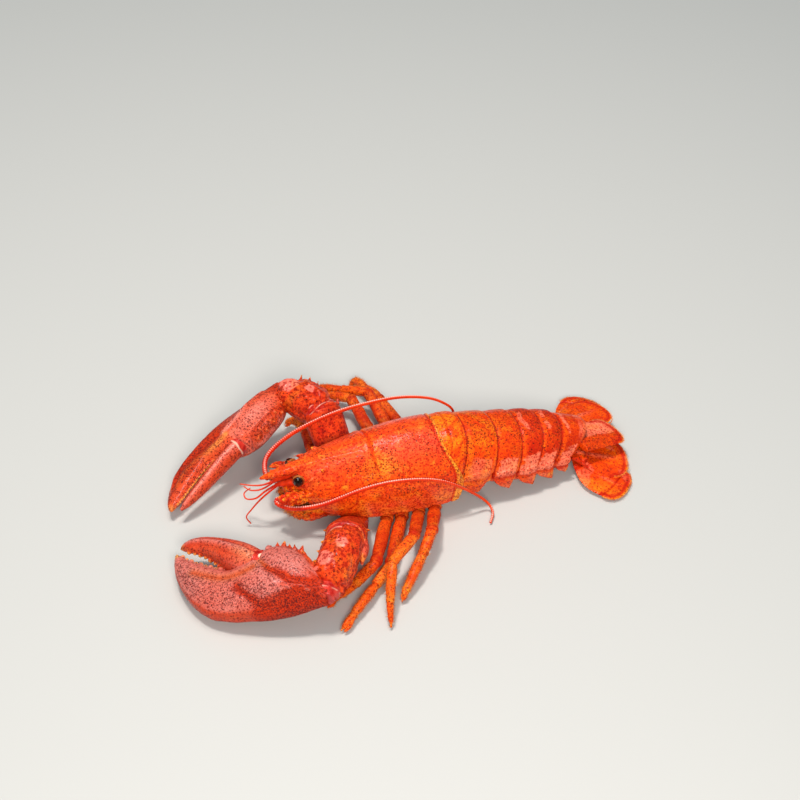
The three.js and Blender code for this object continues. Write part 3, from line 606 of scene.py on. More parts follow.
def shell_finish(name, palette, coat=0.48, **values):
    material, tree, shader, place = new_finish(name)
    inputs = {"Place": place, **{key: colour(code) for key, code in palette.items()}, **values}
    skin = grouped(tree, SHELL_SKIN, inputs)
    tree.links.new(skin["Color"], shader.inputs["Base Color"])
    tree.links.new(skin["Roughness"], shader.inputs["Roughness"])
    tree.links.new(times(tree, skin["Gloss"], coat), shader.inputs["Coat Weight"])
    even(shader, Specular_IOR_Level=0.15, Coat_IOR=1.38, Coat_Roughness=0.18)
    bumped(tree, shader, skin["Height"], 0.3)
    return material


BACK_SHELL = shell_finish(
    "back_shell",
    {
        "Ground": "#f0420a",
        "Patch": "#f8600f",
        "Rosy": "#f85236",
        "Gold": "#ffa62c",
        "Deep": "#c41e06",
        "Pit": "#a81605",
        "Fleck": "#30100a",
    },
    **{"Blotch Share": 0.5, "Warm Share": 0.36, "Pit Coverage": 0.9},
)
ARM_SHELL = shell_finish(
    "arm_shell",
    {
        "Ground": "#de3a12",
        "Patch": "#ea4c16",
        "Rosy": "#fb7a66",
        "Gold": "#f5a22c",
        "Deep": "#ac1408",
        "Pit": "#8c0e05",
        "Fleck": "#2c0d0a",
    },
    **{"Pit Spacing": 2.2, "Pit Radius": 1.1, "Pit Coverage": 0.85, "Warm Share": 0.14},
)
TAIL_SHELL = shell_finish(
    "tail_shell",
    {
        "Ground": "#f45604",
        "Patch": "#e84003",
        "Rosy": "#fd8260",
        "Gold": "#ffa216",
        "Deep": "#b01403",
        "Pit": "#ae1c04",
        "Fleck": "#2e100a",
    },
    **{"Blotch Share": 0.25},
)
CLAW_COLOURS = {
    "Ground": "#cc3a1c",
    "Patch": "#d84c2a",
    "Rosy": "#d07467",
    "Gold": "#fab04c",
    "Deep": "#b42806",
    "Pit": "#741208",
    "Fleck": "#34191a",
}
CLAW_VALUES = {
    "Pit Coverage": 0.4,
    "Blotch Share": 0.15,
    "Warm Share": 0.1,
    "Fleck Coverage": 0.2,
    "Fleck Spacing": 0.85,
    "Fleck Radius": 0.35,
}
CRUSHER_SHELL = shell_finish("crusher_shell", CLAW_COLOURS, **CLAW_VALUES)
CUTTER_COLOURS = {**CLAW_COLOURS, "Ground": "#e04a22", "Rosy": "#fa8672"}
CUTTER_SHELL = shell_finish("cutter_shell", CUTTER_COLOURS, **CLAW_VALUES)
CLAW_SHELLS = {"left": CRUSHER_SHELL, "right": CUTTER_SHELL}
LEG_SHELL = shell_finish(
    "leg_shell",
    {
        "Ground": "#f46412",
        "Patch": "#ea500e",
        "Rosy": "#f46838",
        "Gold": "#f59e28",
        "Deep": "#b01c06",
        "Pit": "#a41805",
        "Fleck": "#3c120a",
    },
    coat=0.2,
    **{"Patch Size": 9.0},
)


def skin_finish():
    """The wet skin between the shell plates: dark red, with pale folds."""
    material, tree, shader, place = new_finish("joint_skin")
    patch = mottled(tree, place, 4.0, 0.35, 0.65)
    base = blended(tree, patch, colour("#a0120e"), colour("#cc3424"))
    base = blended(tree, painted(tree, "fold"), base, colour("#f4d2b0"))
    tree.links.new(base, shader.inputs["Base Color"])
    even(shader, Roughness=0.3, Coat_Weight=0.3)
    bumped(tree, shader, noise(tree, place, 1.6, 2.0), 0.3)
    return material


def eye_finish():
    """A black eye with a rust-brown stalk."""
    material, tree, shader, place = new_finish("eye")
    stalk = painted(tree, "stalk")
    facets = mottled(tree, place, 0.5, 0.3, 0.7)
    ball = blended(tree, facets, colour("#0c0908"), colour("#241511"))
    brown = blended(tree, facets, colour("#7a3a14"), colour("#c0661e"))
    tree.links.new(blended(tree, stalk, ball, brown), shader.inputs["Base Color"])
    tree.links.new(plus(tree, times(tree, stalk, 0.35), 0.1), shader.inputs["Roughness"])
    even(shader, Coat_Weight=0.8)
    bumped(tree, shader, facets, 0.05)
    return material


def feeler_finish():
    """Red feelers with a pale stripe along the top that is a painted highlight, and darker joints between
    their rings.
    """
    material, tree, shader, place = new_finish("feeler")
    ring, along, top = (painted(tree, name) for name in ("ring", "along", "top"))
    patch = mottled(tree, place, 6.0, 0.4, 0.65)
    base = blended(tree, patch, colour("#c41a0a"), colour("#dc3010"))
    base = blended(tree, times(tree, along, 0.6), base, colour("#e04808"))
    # The pale stripe along the top is a painted highlight.
    pale = times(tree, top, spread(tree, ring, 0.3, 0.9, 0.3, 1.0))
    base = blended(tree, pale, base, colour("#fbc4b0"))
    base = blended(tree, spread(tree, ring, 0.5, 0.0, 0.0, 0.9), base, colour("#8a0f08"))
    tree.links.new(base, shader.inputs["Base Color"])
    even(shader, Roughness=0.4, Specular_IOR_Level=0.2, Coat_Weight=0.2)
    return material


def belly_finish():
    """The pale orange underside."""
    material, tree, shader, place = new_finish("belly")
    patch = mottled(tree, place, 9.0, 0.35, 0.65)
    tree.links.new(blended(tree, patch, colour("#e0805a"), colour("#d35c34")), shader.inputs["Base Color"])
    even(shader, Roughness=0.45)
    bumped(tree, shader, noise(tree, place, 0.8, 4.0), 0.4)
    return material


def bristle_finish(name, root, tip):
    """Bristles that are darker at the root than at the tip."""
    material, tree, shader, place = new_finish(name)
    patch = mottled(tree, place, 2.0, 0.35, 0.65)
    tree.links.new(blended(tree, patch, colour(root), colour(tip)), shader.inputs["Base Color"])
    even(shader, Roughness=0.5)
    return material


JOINT_SKIN = skin_finish()
EYE = eye_finish()
FEELER = feeler_finish()
BELLY = belly_finish()
FRINGE = bristle_finish("fringe", "#c44a10", "#ec9434")
BRISTLE = bristle_finish("bristle", "#9c3a10", "#dc8a34")


# ---- geometry node trees -------------------------------------------------------------------------


def new_maker(name, inputs):
    """A geometry tree that takes and gives geometry, with named inputs."""
    sorts = {"Geometry": ("NodeSocketGeometry", None), **inputs}
    tree, given, out = new_group(name, sorts, {"Geometry": "NodeSocketGeometry"}, "GeometryNodeTree")
    tree.is_modifier = True
    return tree, given, out["Geometry"]


def stored(tree, name, sort="FLOAT"):
    """A named attribute of the mesh, as a geometry tree reads it."""
    made = node(tree, "GeometryNodeInputNamedAttribute", {"Name": name}, data_type=sort)
    return made.outputs["Attribute"]


def evenly_spaced(tree, chain, spacing):
    """A curve through a chain of mesh points, with its own points a spacing apart."""
    line = node(tree, "GeometryNodeMeshToCurve", {"Mesh": chain}).outputs[0]
    inputs = {"Curve": line, "Length": spacing}
    return node(tree, "GeometryNodeResampleCurve", inputs, mode="LENGTH").outputs[0]


def finished(tree, given, shape, out):
    """Ends a tree: the shape is made real and gets its finish."""
    shape = node(tree, "GeometryNodeRealizeInstances", {"Geometry": shape}).outputs[0]
    shape = node(tree, "GeometryNodeSetMaterial", {"Geometry": shape, "Material": given["Finish"]}).outputs[0]
    tree.links.new(shape, out)


def relief_maker():
    """Low swellings, grains and pits over a shell, left out where the `calm` mask is 1."""
    tree, given, out = new_maker(
        "shell_relief",
        {
            "Swell Size": ("value", 12.0),
            "Swell Height": ("value", 0.3),
            "Grain Size": ("value", 2.2),
            "Grain Height": ("value", 0.12),
            "Pit Spacing": ("value", 2.3),
            "Pit Depth": ("value", 0.14),
            "Finish": ("NodeSocketMaterial", None),
        },
    )
    place = node(tree, "GeometryNodeInputPosition").outputs[0]
    swell = minus(tree, noise(tree, place, over(tree, 1.0, given["Swell Size"]), 2.0), 0.5)
    grain = minus(tree, noise(tree, place, over(tree, 1.0, given["Grain Size"]), 1.0), 0.5)
    pit_inputs = {"Vector": place, "Scale": over(tree, 1.0, given["Pit Spacing"])}
    cells = node(tree, "ShaderNodeTexVoronoi", pit_inputs).outputs["Distance"]
    pit = spread(tree, cells, 0.12, 0.34, 1.0, 0.0)
    waves = plus(
        tree,
        times(tree, swell, 2.0, given["Swell Height"]),
        times(tree, grain, 2.0, given["Grain Height"]),
    )
    height = minus(tree, waves, times(tree, pit, given["Pit Depth"]))
    height = times(tree, height, minus(tree, 1.0, stored(tree, "calm")))
    offset = scaled(tree, node(tree, "GeometryNodeInputNormal").outputs[0], height)
    moved = node(tree, "GeometryNodeSetPosition", {"Geometry": given["Geometry"], "Offset": offset})
    finished(tree, given, moved.outputs[0], out)
    return tree


POINTS_TO_A_RING = 5.0


def feeler_maker():
    """A tapering ringed feeler along a chain of points."""
    tree, given, out = new_maker(
        "ringed_feeler",
        {
            "Root Radius": ("value", 1.7),
            "Tip Radius": ("value", 0.6),
            "Ring Spacing": ("value", 1.1),
            "Ring Depth": ("value", 0.1),
            "Sides": ("NodeSocketInt", 12),
            "Finish": ("NodeSocketMaterial", None),
        },
    )
    line = evenly_spaced(tree, given["Geometry"], over(tree, given["Ring Spacing"], POINTS_TO_A_RING))
    share = node(tree, "GeometryNodeSplineParameter").outputs
    turn = times(tree, over(tree, share["Length"], given["Ring Spacing"]), np.pi)
    ring = maths(tree, "POWER", maths(tree, "ABSOLUTE", maths(tree, "SINE", turn)), 0.6)
    loss = times(tree, minus(tree, given["Root Radius"], given["Tip Radius"]), share["Factor"])
    taper = minus(tree, given["Root Radius"], loss)
    fall = times(tree, minus(tree, 1.0, ring), given["Ring Depth"])
    radius = times(tree, taper, minus(tree, 1.0, fall))
    for name, value in (("ring", ring), ("along", share["Factor"])):
        inputs = {"Geometry": line, "Name": name, "Value": value}
        kept = node(tree, "GeometryNodeStoreNamedAttribute", inputs, data_type="FLOAT", domain="POINT")
        line = kept.outputs[0]
    circle = {"Resolution": given["Sides"], "Radius": 1.0}
    profile = node(tree, "GeometryNodeCurvePrimitiveCircle", circle).outputs[0]
    tube_inputs = {"Curve": line, "Profile Curve": profile, "Scale": radius, "Fill Caps": True}
    finished(tree, given, node(tree, "GeometryNodeCurveToMesh", tube_inputs).outputs[0], out)
    return tree


def bristle_inputs():
    return {
        "Length": ("value", 1.6),
        "Radius": ("value", 0.09),
        "Lean": ("value", 0.5),
        "Seed": ("NodeSocketInt", 1),
        "Finish": ("NodeSocketMaterial", None),
    }


def planted(tree, given, points, rotation, out):
    """Puts a slim cone on each point, leaning at random, and ends the tree."""
    cone_inputs = {"Vertices": 4, "Radius Top": 0.01, "Radius Bottom": given["Radius"]}
    cone_inputs["Depth"] = given["Length"]
    cone = node(tree, "GeometryNodeMeshCone", cone_inputs, fill_type="NONE").outputs["Mesh"]
    lean = given["Lean"]
    lean_inputs = {0: times(tree, lean, -1.0), 1: lean, "Seed": given["Seed"]}
    leaning = node(tree, "FunctionNodeRandomValue", lean_inputs, data_type="FLOAT_VECTOR").outputs[0]
    tilt = node(tree, "FunctionNodeEulerToRotation", {0: leaning}).outputs[0]
    turn_inputs = {"Rotation": rotation, "Rotate By": tilt}
    rotation = node(tree, "FunctionNodeRotateRotation", turn_inputs, rotation_space="LOCAL").outputs[0]
    size_inputs = {2: 0.55, 3: 1.1, "Seed": given["Seed"]}
    size = node(tree, "FunctionNodeRandomValue", size_inputs, data_type="FLOAT").outputs[1]
    scale = node(tree, "ShaderNodeCombineXYZ", {0: 1.0, 1: 1.0, 2: size}).outputs[0]
    hair_inputs = {"Points": points, "Instance": cone, "Rotation": rotation, "Scale": scale}
    finished(tree, given, node(tree, "GeometryNodeInstanceOnPoints", hair_inputs).outputs[0], out)


def bristle_maker():
    """Short bristles standing on a surface, as many as the `hairy` mask asks for."""
    tree, given, out = new_maker("bristles", {"Density": ("value", 0.6), **bristle_inputs()})
    dense = times(tree, stored(tree, "hairy"), given["Density"])
    scatter_inputs = {"Mesh": given["Geometry"], "Density": dense, "Seed": given["Seed"]}
    scatter = node(tree, "GeometryNodeDistributePointsOnFaces", scatter_inputs).outputs
    planted(tree, given, scatter["Points"], scatter["Rotation"], out)
    return tree


def fringe_maker():
    """A row of bristles along a chain of points, each pointing the way stored in `way`."""
    tree, given, out = new_maker("fringe", {"Spacing": ("value", 0.3), **bristle_inputs()})
    line = evenly_spaced(tree, given["Geometry"], given["Spacing"])
    points = node(tree, "GeometryNodeCurveToPoints", {"Curve": line}, mode="EVALUATED").outputs["Points"]
    way = stored(tree, "way", "FLOAT_VECTOR")
    rotation = node(tree, "FunctionNodeAlignRotationToVector", {"Vector": way}, axis="Z").outputs[0]
    planted(tree, given, points, rotation, out)
    return tree


RELIEF = relief_maker()
RINGED_FEELER = feeler_maker()
BRISTLES = bristle_maker()
FRINGE_ROW = fringe_maker()


def made_by(maker, mesh, values):
    """The mesh that a geometry tree makes of another, with the tree's inputs given by name."""
    obj = with_object(mesh)
    modifier = obj.modifiers.new(maker.name, "NODES")
    modifier.node_group = maker
    for item in maker.interface.items_tree:
        if item.item_type == "SOCKET" and item.in_out == "INPUT" and item.name in values:
            modifier[item.identifier] = values[item.name]
    return baked(obj)


# ---- finished pieces -----------------------------------------------------------------------------


def settle(name, mesh, finish, cad_node=None):
    """A finished piece from a mesh in millimetres, its last bristles kept within the whole's size."""
    low, high = (vec(*corner) / MM for corner in CAD_BOX)
    move_to(mesh, np.clip(points_of(mesh), low + BOX_MARGIN, high - BOX_MARGIN))
    mesh.transform(Matrix.Scale(MM, 4))
    mesh.name = name
    mesh.materials.clear()
    mesh.materials.append(finish)
    mesh.shade_smooth()
    obj = with_object(mesh)
    obj.name = name
    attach(obj, "root")
    if cad_node:
        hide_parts(cad_node)
    return obj


def shell_piece(name, mesh, matrix, finish, slot, cad_node, **relief):
    """Puts a carved shell in its place, gives it its fine relief and finishes it."""
    mesh.transform(Matrix(matrix))
    if "calm" not in mesh.attributes:
        mask(mesh, calm=0)
    return settle(name, made_by(RELIEF, mesh, {**relief, "Finish": finish}), finish, cad_node)


def hair_piece(name, surface, finish, slot, **values):
    """Bristles on a piece that is already in its place, where its `hairy` mask says."""
    copy = surface.data.copy()
    copy.transform(Matrix.Scale(1 / MM, 4))
    hairs = made_by(BRISTLES, copy, {"Finish": finish, **values})
    return settle(name, hairs, finish)


# ---- carapace ------------------------------------------------------------------------------------

SHIELD = [
    [-SHIELD_LENGTH - 2, 8, SHIELD_TOP - 14, 25],
    [-SHIELD_LENGTH + 6, 15, SHIELD_TOP - 11.5, 18],
    [-SHIELD_LENGTH + 18, 21.5, SHIELD_TOP - 8.2, 11.5],
    [-SHIELD_LENGTH + 34, 26.5, SHIELD_TOP - 5.2, 8],
    [-42, 29.5, SHIELD_TOP - 2.6, SHIELD_LOW],
    [-21, SHIELD_HALF_WIDTH, SHIELD_TOP - 1, SHIELD_LOW],
    [-6, SHIELD_HALF_WIDTH - 0.3, SHIELD_TOP - 1, SHIELD_LOW + 0.5],
    [0, SHIELD_HALF_WIDTH - 1, SHIELD_TOP - 1.4, SHIELD_LOW + 1.5],
]  # [x, half width, top, lower margin]
GROOVE = [
    [-44, -0.02],
    [-45, 0.22],
    [-45, 0.44],
    [-44, 0.62],
    [-48, 0.8],
    [-57, 0.96],
    [-66, 1.14],
]  # the cervical groove: [x, share of the arch from the ridge to the flank]


def on_arch(x, share, half, waist, roof):
    """A point of the arch: share 0 on the ridge, -1 and 1 at the waist of either flank."""
    turn = np.pi / 2 * share
    wide, high = rounded(np.sin(turn), ARCH_POWER), rounded(np.cos(turn), ARCH_POWER)
    return np.stack(np.broadcast_arrays(x, half * wide, waist + (roof - waist) * high), -1)


def shield_ring(row):
    """One ring of the shield: over the back, down the flanks and flat across below."""
    x, half, roof, floor = row
    waist = floor + (roof - floor) * WAIST_SHARE
    over = on_arch(x, np.linspace(-1, 1, 81), half, waist, roof)
    drop = np.linspace(0, 1, 15)[1:]
    flank = np.stack([np.full(14, x), half * (1 - FLANK_TUCK * drop**2), waist + (floor - waist) * drop], -1)
    under = half * np.linspace(0.85, -0.85, 24) * (1 - FLANK_TUCK)
    below = np.stack([np.full(24, x), under, np.full(24, floor)], -1)
    ring = np.vstack([over, flank, below, (flank * vec(1, -1, 1))[::-1]])
    side = np.minimum(np.abs(ring[:, 1]) / half, 1)
    ring[:, 0] += fade(x, -30, 0) * REAR_LOBE * side**4
    return ring


def groove_path(side):
    """The cervical groove over one side of the back."""
    rows = between(SHIELD, 8)
    path = []
    for x, share in between(GROOVE, 4):
        _, half, roof, low = rows[np.argmax(rows[:, 0] >= x)]
        waist = low + (roof - low) * WAIST_SHARE
        point = on_arch(x, min(share, 1), half, waist, roof)
        path.append([point[0], side * point[1], point[2] - max(0, share - 1) * 60])
    return np.array(path)


BEAK = [
    [-SHIELD_LENGTH + 14, 0, SHIELD_TOP - 12.6, 8, 3.8],
    [-SHIELD_LENGTH, 0, SHIELD_TOP - 15, 4.8, 3],
    [-SHIELD_LENGTH - ROSTRUM_LENGTH * 0.55, 0, SHIELD_TOP - 16.5, 2.7, 2.1],
    [-SHIELD_LENGTH - ROSTRUM_LENGTH, 0, SHIELD_TOP - 18, 0.45, 0.4],
]
# Thorns of one side: [behind the eyes, out from the middle, height, way, length, radius].
SHIELD_THORNS = [
    [-ROSTRUM_LENGTH * 0.05, 4.2, SHIELD_TOP - 14, (-1.4, 1, 0.5), 4.4, 1.3],
    [-ROSTRUM_LENGTH * 0.32, 3.2, SHIELD_TOP - 15.2, (-1.4, 1, 0.5), 4.6, 1.3],
    [-ROSTRUM_LENGTH * 0.6, 2.3, SHIELD_TOP - 16.2, (-1.4, 1, 0.5), 3.8, 1.1],
    [7, 12.5, SHIELD_TOP - 17.5, (-1.6, 0.5, 0.2), 4.5, 1.8],
    [4, 15, 27, (-1.6, 0.4, 0), 4, 1.8],
    [16, 11, SHIELD_TOP - 12.5, (-1.2, 0.7, 0.8), 2.6, 1.5],
]
# Lines on one flank, mirrored to the other: the arc in front of the groove and the brow over the eye.
HEPATIC_ARC = between([[-61.5, 24.5, 31], [-59.5, 25.6, 26], [-60.5, 26, 20.5], [-65, 24.6, 15.6]], 4)
BROW = np.array([[-85, 9.5, 38.5], [-80.7, 10.8, 39.9], [-76, 12, 41.5]])
BEAK_RIDGE = ([-112, -90, -70, -46], [0.9, 3.2, 5.6, 8.8])  # x, and how far out the ridge runs there


def carapace():
    skins = [loft([shield_ring(row) for row in between(SHIELD, 10)]), limb(BEAK, 40, 8)]
    tips = []
    for side in SIDES.values():
        for back, out, high, (x, y, z), length, radius in SHIELD_THORNS:
            root, way = vec(-SHIELD_LENGTH + back, side * out, high), vec(x, side * y, z)
            skins.append(spine(root, way, length, radius))
            tips.append(root + unit(way) * length)
    mesh = fused("carapace", skins, 0.5)
    p = points_of(mesh)
    x, y, z = p.T
    wide = np.abs(y)
    one_side = np.stack([x, wide, z], -1)
    # Carving: the neck groove, the seam along the back, the ridges from the beak and the rear rim.
    neck = np.minimum(*[distance_to(p, groove_path(side)) for side in SIDES.values()])
    behind = x - REAR_LOBE * fade(x, -30, 0) * np.minimum(wide / SHIELD_HALF_WIDTH, 1) ** 4
    seam = bell(y, 0.7) * fade(x, -42, -38) * fade(x, -1, -5) * (z > 40)
    ridge = bell(wide - np.interp(x, *BEAK_RIDGE), 1.3) * fade(x, -44, -62) * (z > 30)
    brow = distance_to(one_side, BROW)
    socket = nearest(one_side, [EYE_PLACE])
    rim_width = 1.3 + 3.4 * fade(z, 36, 22)
    rim = fade(behind + rim_width, -0.5, 0.4)
    rim_groove = bell(behind + rim_width + 0.9, 0.7)
    strength = 0.06 + 0.94 * fade(z, 37, 44)
    arc = distance_to(p * vec(1, 0, 1) + vec(0, 1, 0) * wide[:, None], HEPATIC_ARC)
    margin = bell(z - SHIELD_LOW - 3.5, 1.0) * fade(x, -70, -55) * (wide > 15)
    amount = (
        -1.0 * bell(neck, 0.95) * strength
        + 0.4 * bell(neck - 3.2, 2.2) * (x < -45) * strength
        - 0.7 * bell(arc, 0.8)
        - 0.35 * seam
        + 0.45 * ridge
        + 0.8 * bell(brow, 1.4)
        - 0.9 * bell(socket - 4.6, 2.0)
        + 0.25 * rim
        - 0.55 * rim_groove
        - 0.4 * margin
    )
    push(mesh, amount)
    # Zones of colour.
    tip = nearest(p, tips)
    low = fade(z, 20, 12)
    wander = drift(p, 9, 3)
    patch = bell(np.linalg.norm((one_side - vec(-40, 19, 42.5)) / vec(7, 8, 6), axis=1), 1)
    spot = bell(nearest(one_side, [vec(-66.5, 21.5, 32.5)]), 1.6)
    gold = 0.85 * rim + 0.75 * patch * (0.7 + 0.5 * wander) + 0.9 * spot + 0.8 * fade(tip, 2.6, 0.4)
    gold += 0.35 * fade(z, 26, 14) * fade(wander, -0.3, 0.7)
    # Rosy here is painted light: a painted highlight along the upper flank behind the groove and beside the
    # beak, and painted light low on the flank from about the groove back, where shade falls.
    upper = bell((wide - 13) / 8, 1) * (z > 36)
    rosy = 0.8 * upper * fade(x, -44, -36) + 0.5 * bell((wide - 9) / 6, 1) * (x < -46) * (z > 30)
    rosy += 0.45 * fade(z, 25, 17) * fade(x, -62, -50)
    band = bell((z - 28) / 7, 1) * fade(x, -46, -30)
    deep = 0.9 * bell(neck, 0.8) * strength + 0.9 * rim_groove + 0.3 * band * (0.6 + 0.5 * wander)
    deep += 0.8 * bell(socket - 4.8, 1.6) + 0.9 * bell(arc, 0.7) + 0.35 * seam
    fleck = 0.3 * band + 0.45 * fade(drift(p, 14, 8), 0.0, 0.9) * (z > 24)
    mask(mesh, gold=gold, rosy=rosy, deep=deep, fleck=fleck, calm=0.6 * low + rim)
    shell_piece("carapace_shell", mesh, BODY, BACK_SHELL, "body_shell", "carapace")


def breastplate():
    """The plate between the legs, with a furrow across it at each pair of legs."""
    rows = [
        [-84, 5, 6],
        [-76, 10, 8],
        [-60, 16, BELLY_HEIGHT + 1.5],
        [-30, 20, BELLY_HEIGHT + 1.5],
        [-6, 19, BELLY_HEIGHT + 1.5],
        [-1.5, 16, BELLY_HEIGHT],
    ]
    stations = [[x, 0, top / 2, half, top / 2] for x, half, top in rows]
    mesh = fused("breastplate", [limb(stations, 48, 8, power=4.5)], 0.8)
    x, _, z = points_of(mesh).T
    furrows = sum(bell(x - at, 1.2) for at in (-68, -54, -40, -27, -14)) * fade(z, 0.3, 2)
    push(mesh, -0.9 * furrows)
    shell_piece("breastplate_shell", mesh, BODY, BELLY, "underside", "breastplate", **{"Swell Height": 0.1})


# ---- tail ----------------------------------------------------------------------------------------

PLATE_LEAN = (0.12, 0.26)  # radians, the front and rear plates' slant past square to the back
TAIL_LINE = [
    [0, SHIELD_TOP - 2.2, 27, 11],
    [16, SHIELD_TOP - 4.8, 27.5, 10],
    [41, SHIELD_TOP - 11, 27.5, 8],
    [56, SHIELD_TOP - 14.4, 28, 5.5],
    [71, SHIELD_TOP - 17.2, 26.5, 5],
    [84, SHIELD_TOP - 20.8, 24.5, 4.5],
    [105, SHIELD_TOP - 28.5, 20, 4],
]  # [x, top, half width, lower edge of the side lappets]
RINGS = [
    {"start": 0, "stop": 17.5, "hang": 0.35, "sweep": 0, "cut_back": 0, "gold": 0.45, "red": 0},
    {"start": 18, "stop": 39, "hang": 1, "sweep": 2, "cut_back": 0, "gold": 0.25, "red": 0},
    {"start": 39.5, "stop": 56, "hang": 1, "sweep": 4, "cut_back": 0, "gold": 0.12, "red": 0.55},
    {"start": 56.5, "stop": 71.5, "hang": 1, "sweep": 5, "cut_back": 0, "gold": 0, "red": 1},
    {"start": 72, "stop": 85.5, "hang": 1, "sweep": 6, "cut_back": 0, "gold": 0, "red": 1},
    {"start": 86, "stop": 107, "hang": 0.9, "sweep": 3, "cut_back": 9, "gold": 0, "red": 0.7},
]
BACK_LINE = between(TAIL_LINE, 6)


def back_line(x, column):
    slope = (BACK_LINE[-1, column] - BACK_LINE[-2, column]) / (BACK_LINE[-1, 0] - BACK_LINE[-2, 0])
    beyond = np.maximum(x - BACK_LINE[-1, 0], 0) * slope
    return np.interp(x, BACK_LINE[:, 0], BACK_LINE[:, column]) + beyond


def tail_at(x):
    """The tail's top, half width, lower edge and slant at x."""
    lean = PLATE_LEAN[0] + (PLATE_LEAN[1] - PLATE_LEAN[0]) * fade(x, 35, 75)
    pitch = np.arctan2(back_line(x - 6, 1) - back_line(x + 6, 1), 12) + lean
    return back_line(x, 1), back_line(x, 2), back_line(x, 3), pitch


def tail_ring(x, swell):
    """One ring of the tail: an arch over the back, closed by a slightly hollow belly."""
    top, half, low, pitch = tail_at(x)
    tall = (top - low) / np.cos(pitch)
    h, w = tall * 0.74 + swell, half + swell
    turn = np.pi * np.linspace(-0.5, 0.5, 73)
    over = np.stack([w * rounded(np.sin(turn), 2.2), h * rounded(np.cos(turn), 2.1)], -1)
    across = np.linspace(0.9, -0.9, 20)
    under = np.stack([w * across, -tall * (0.06 + 0.05 * across**2)], -1)
    y, up = np.vstack([over, under]).T
    drop = h - swell - up
    return np.stack([x - drop * np.sin(pitch), y, top - drop * np.cos(pitch)], -1)


def lappet(plate, side):
    """A side lappet: a thin pointed flap that hangs from the plate's flank."""
    stop = plate["stop"] - plate["cut_back"]
    middle = (plate["start"] + stop) / 2
    top, half, low, pitch = tail_at(middle)
    waist = low + (top - low) * WAIST_SHARE
    long = (stop - plate["start"]) / 2
    lean = (top - waist) * np.sin(pitch)
    foot = waist + (low - waist) * plate["hang"]
    rows = [
        [
            middle - lean + plate["sweep"] * t**1.5 - 1,
            side * (half - 0.6 + (t if t < 0.5 else 1 - t) * 1.6),
            waist + 3 + (foot - waist - 3) * t,
            long * width,
            thick,
        ]
        for t, width, thick in ((0, 1.02, 1.5), (0.35, 0.92, 1.4), (0.7, 0.5, 1.1), (1, 0.06, 0.5))
    ]
    return limb(rows, 40, 8, power=2.6, face=(0, side, 0))


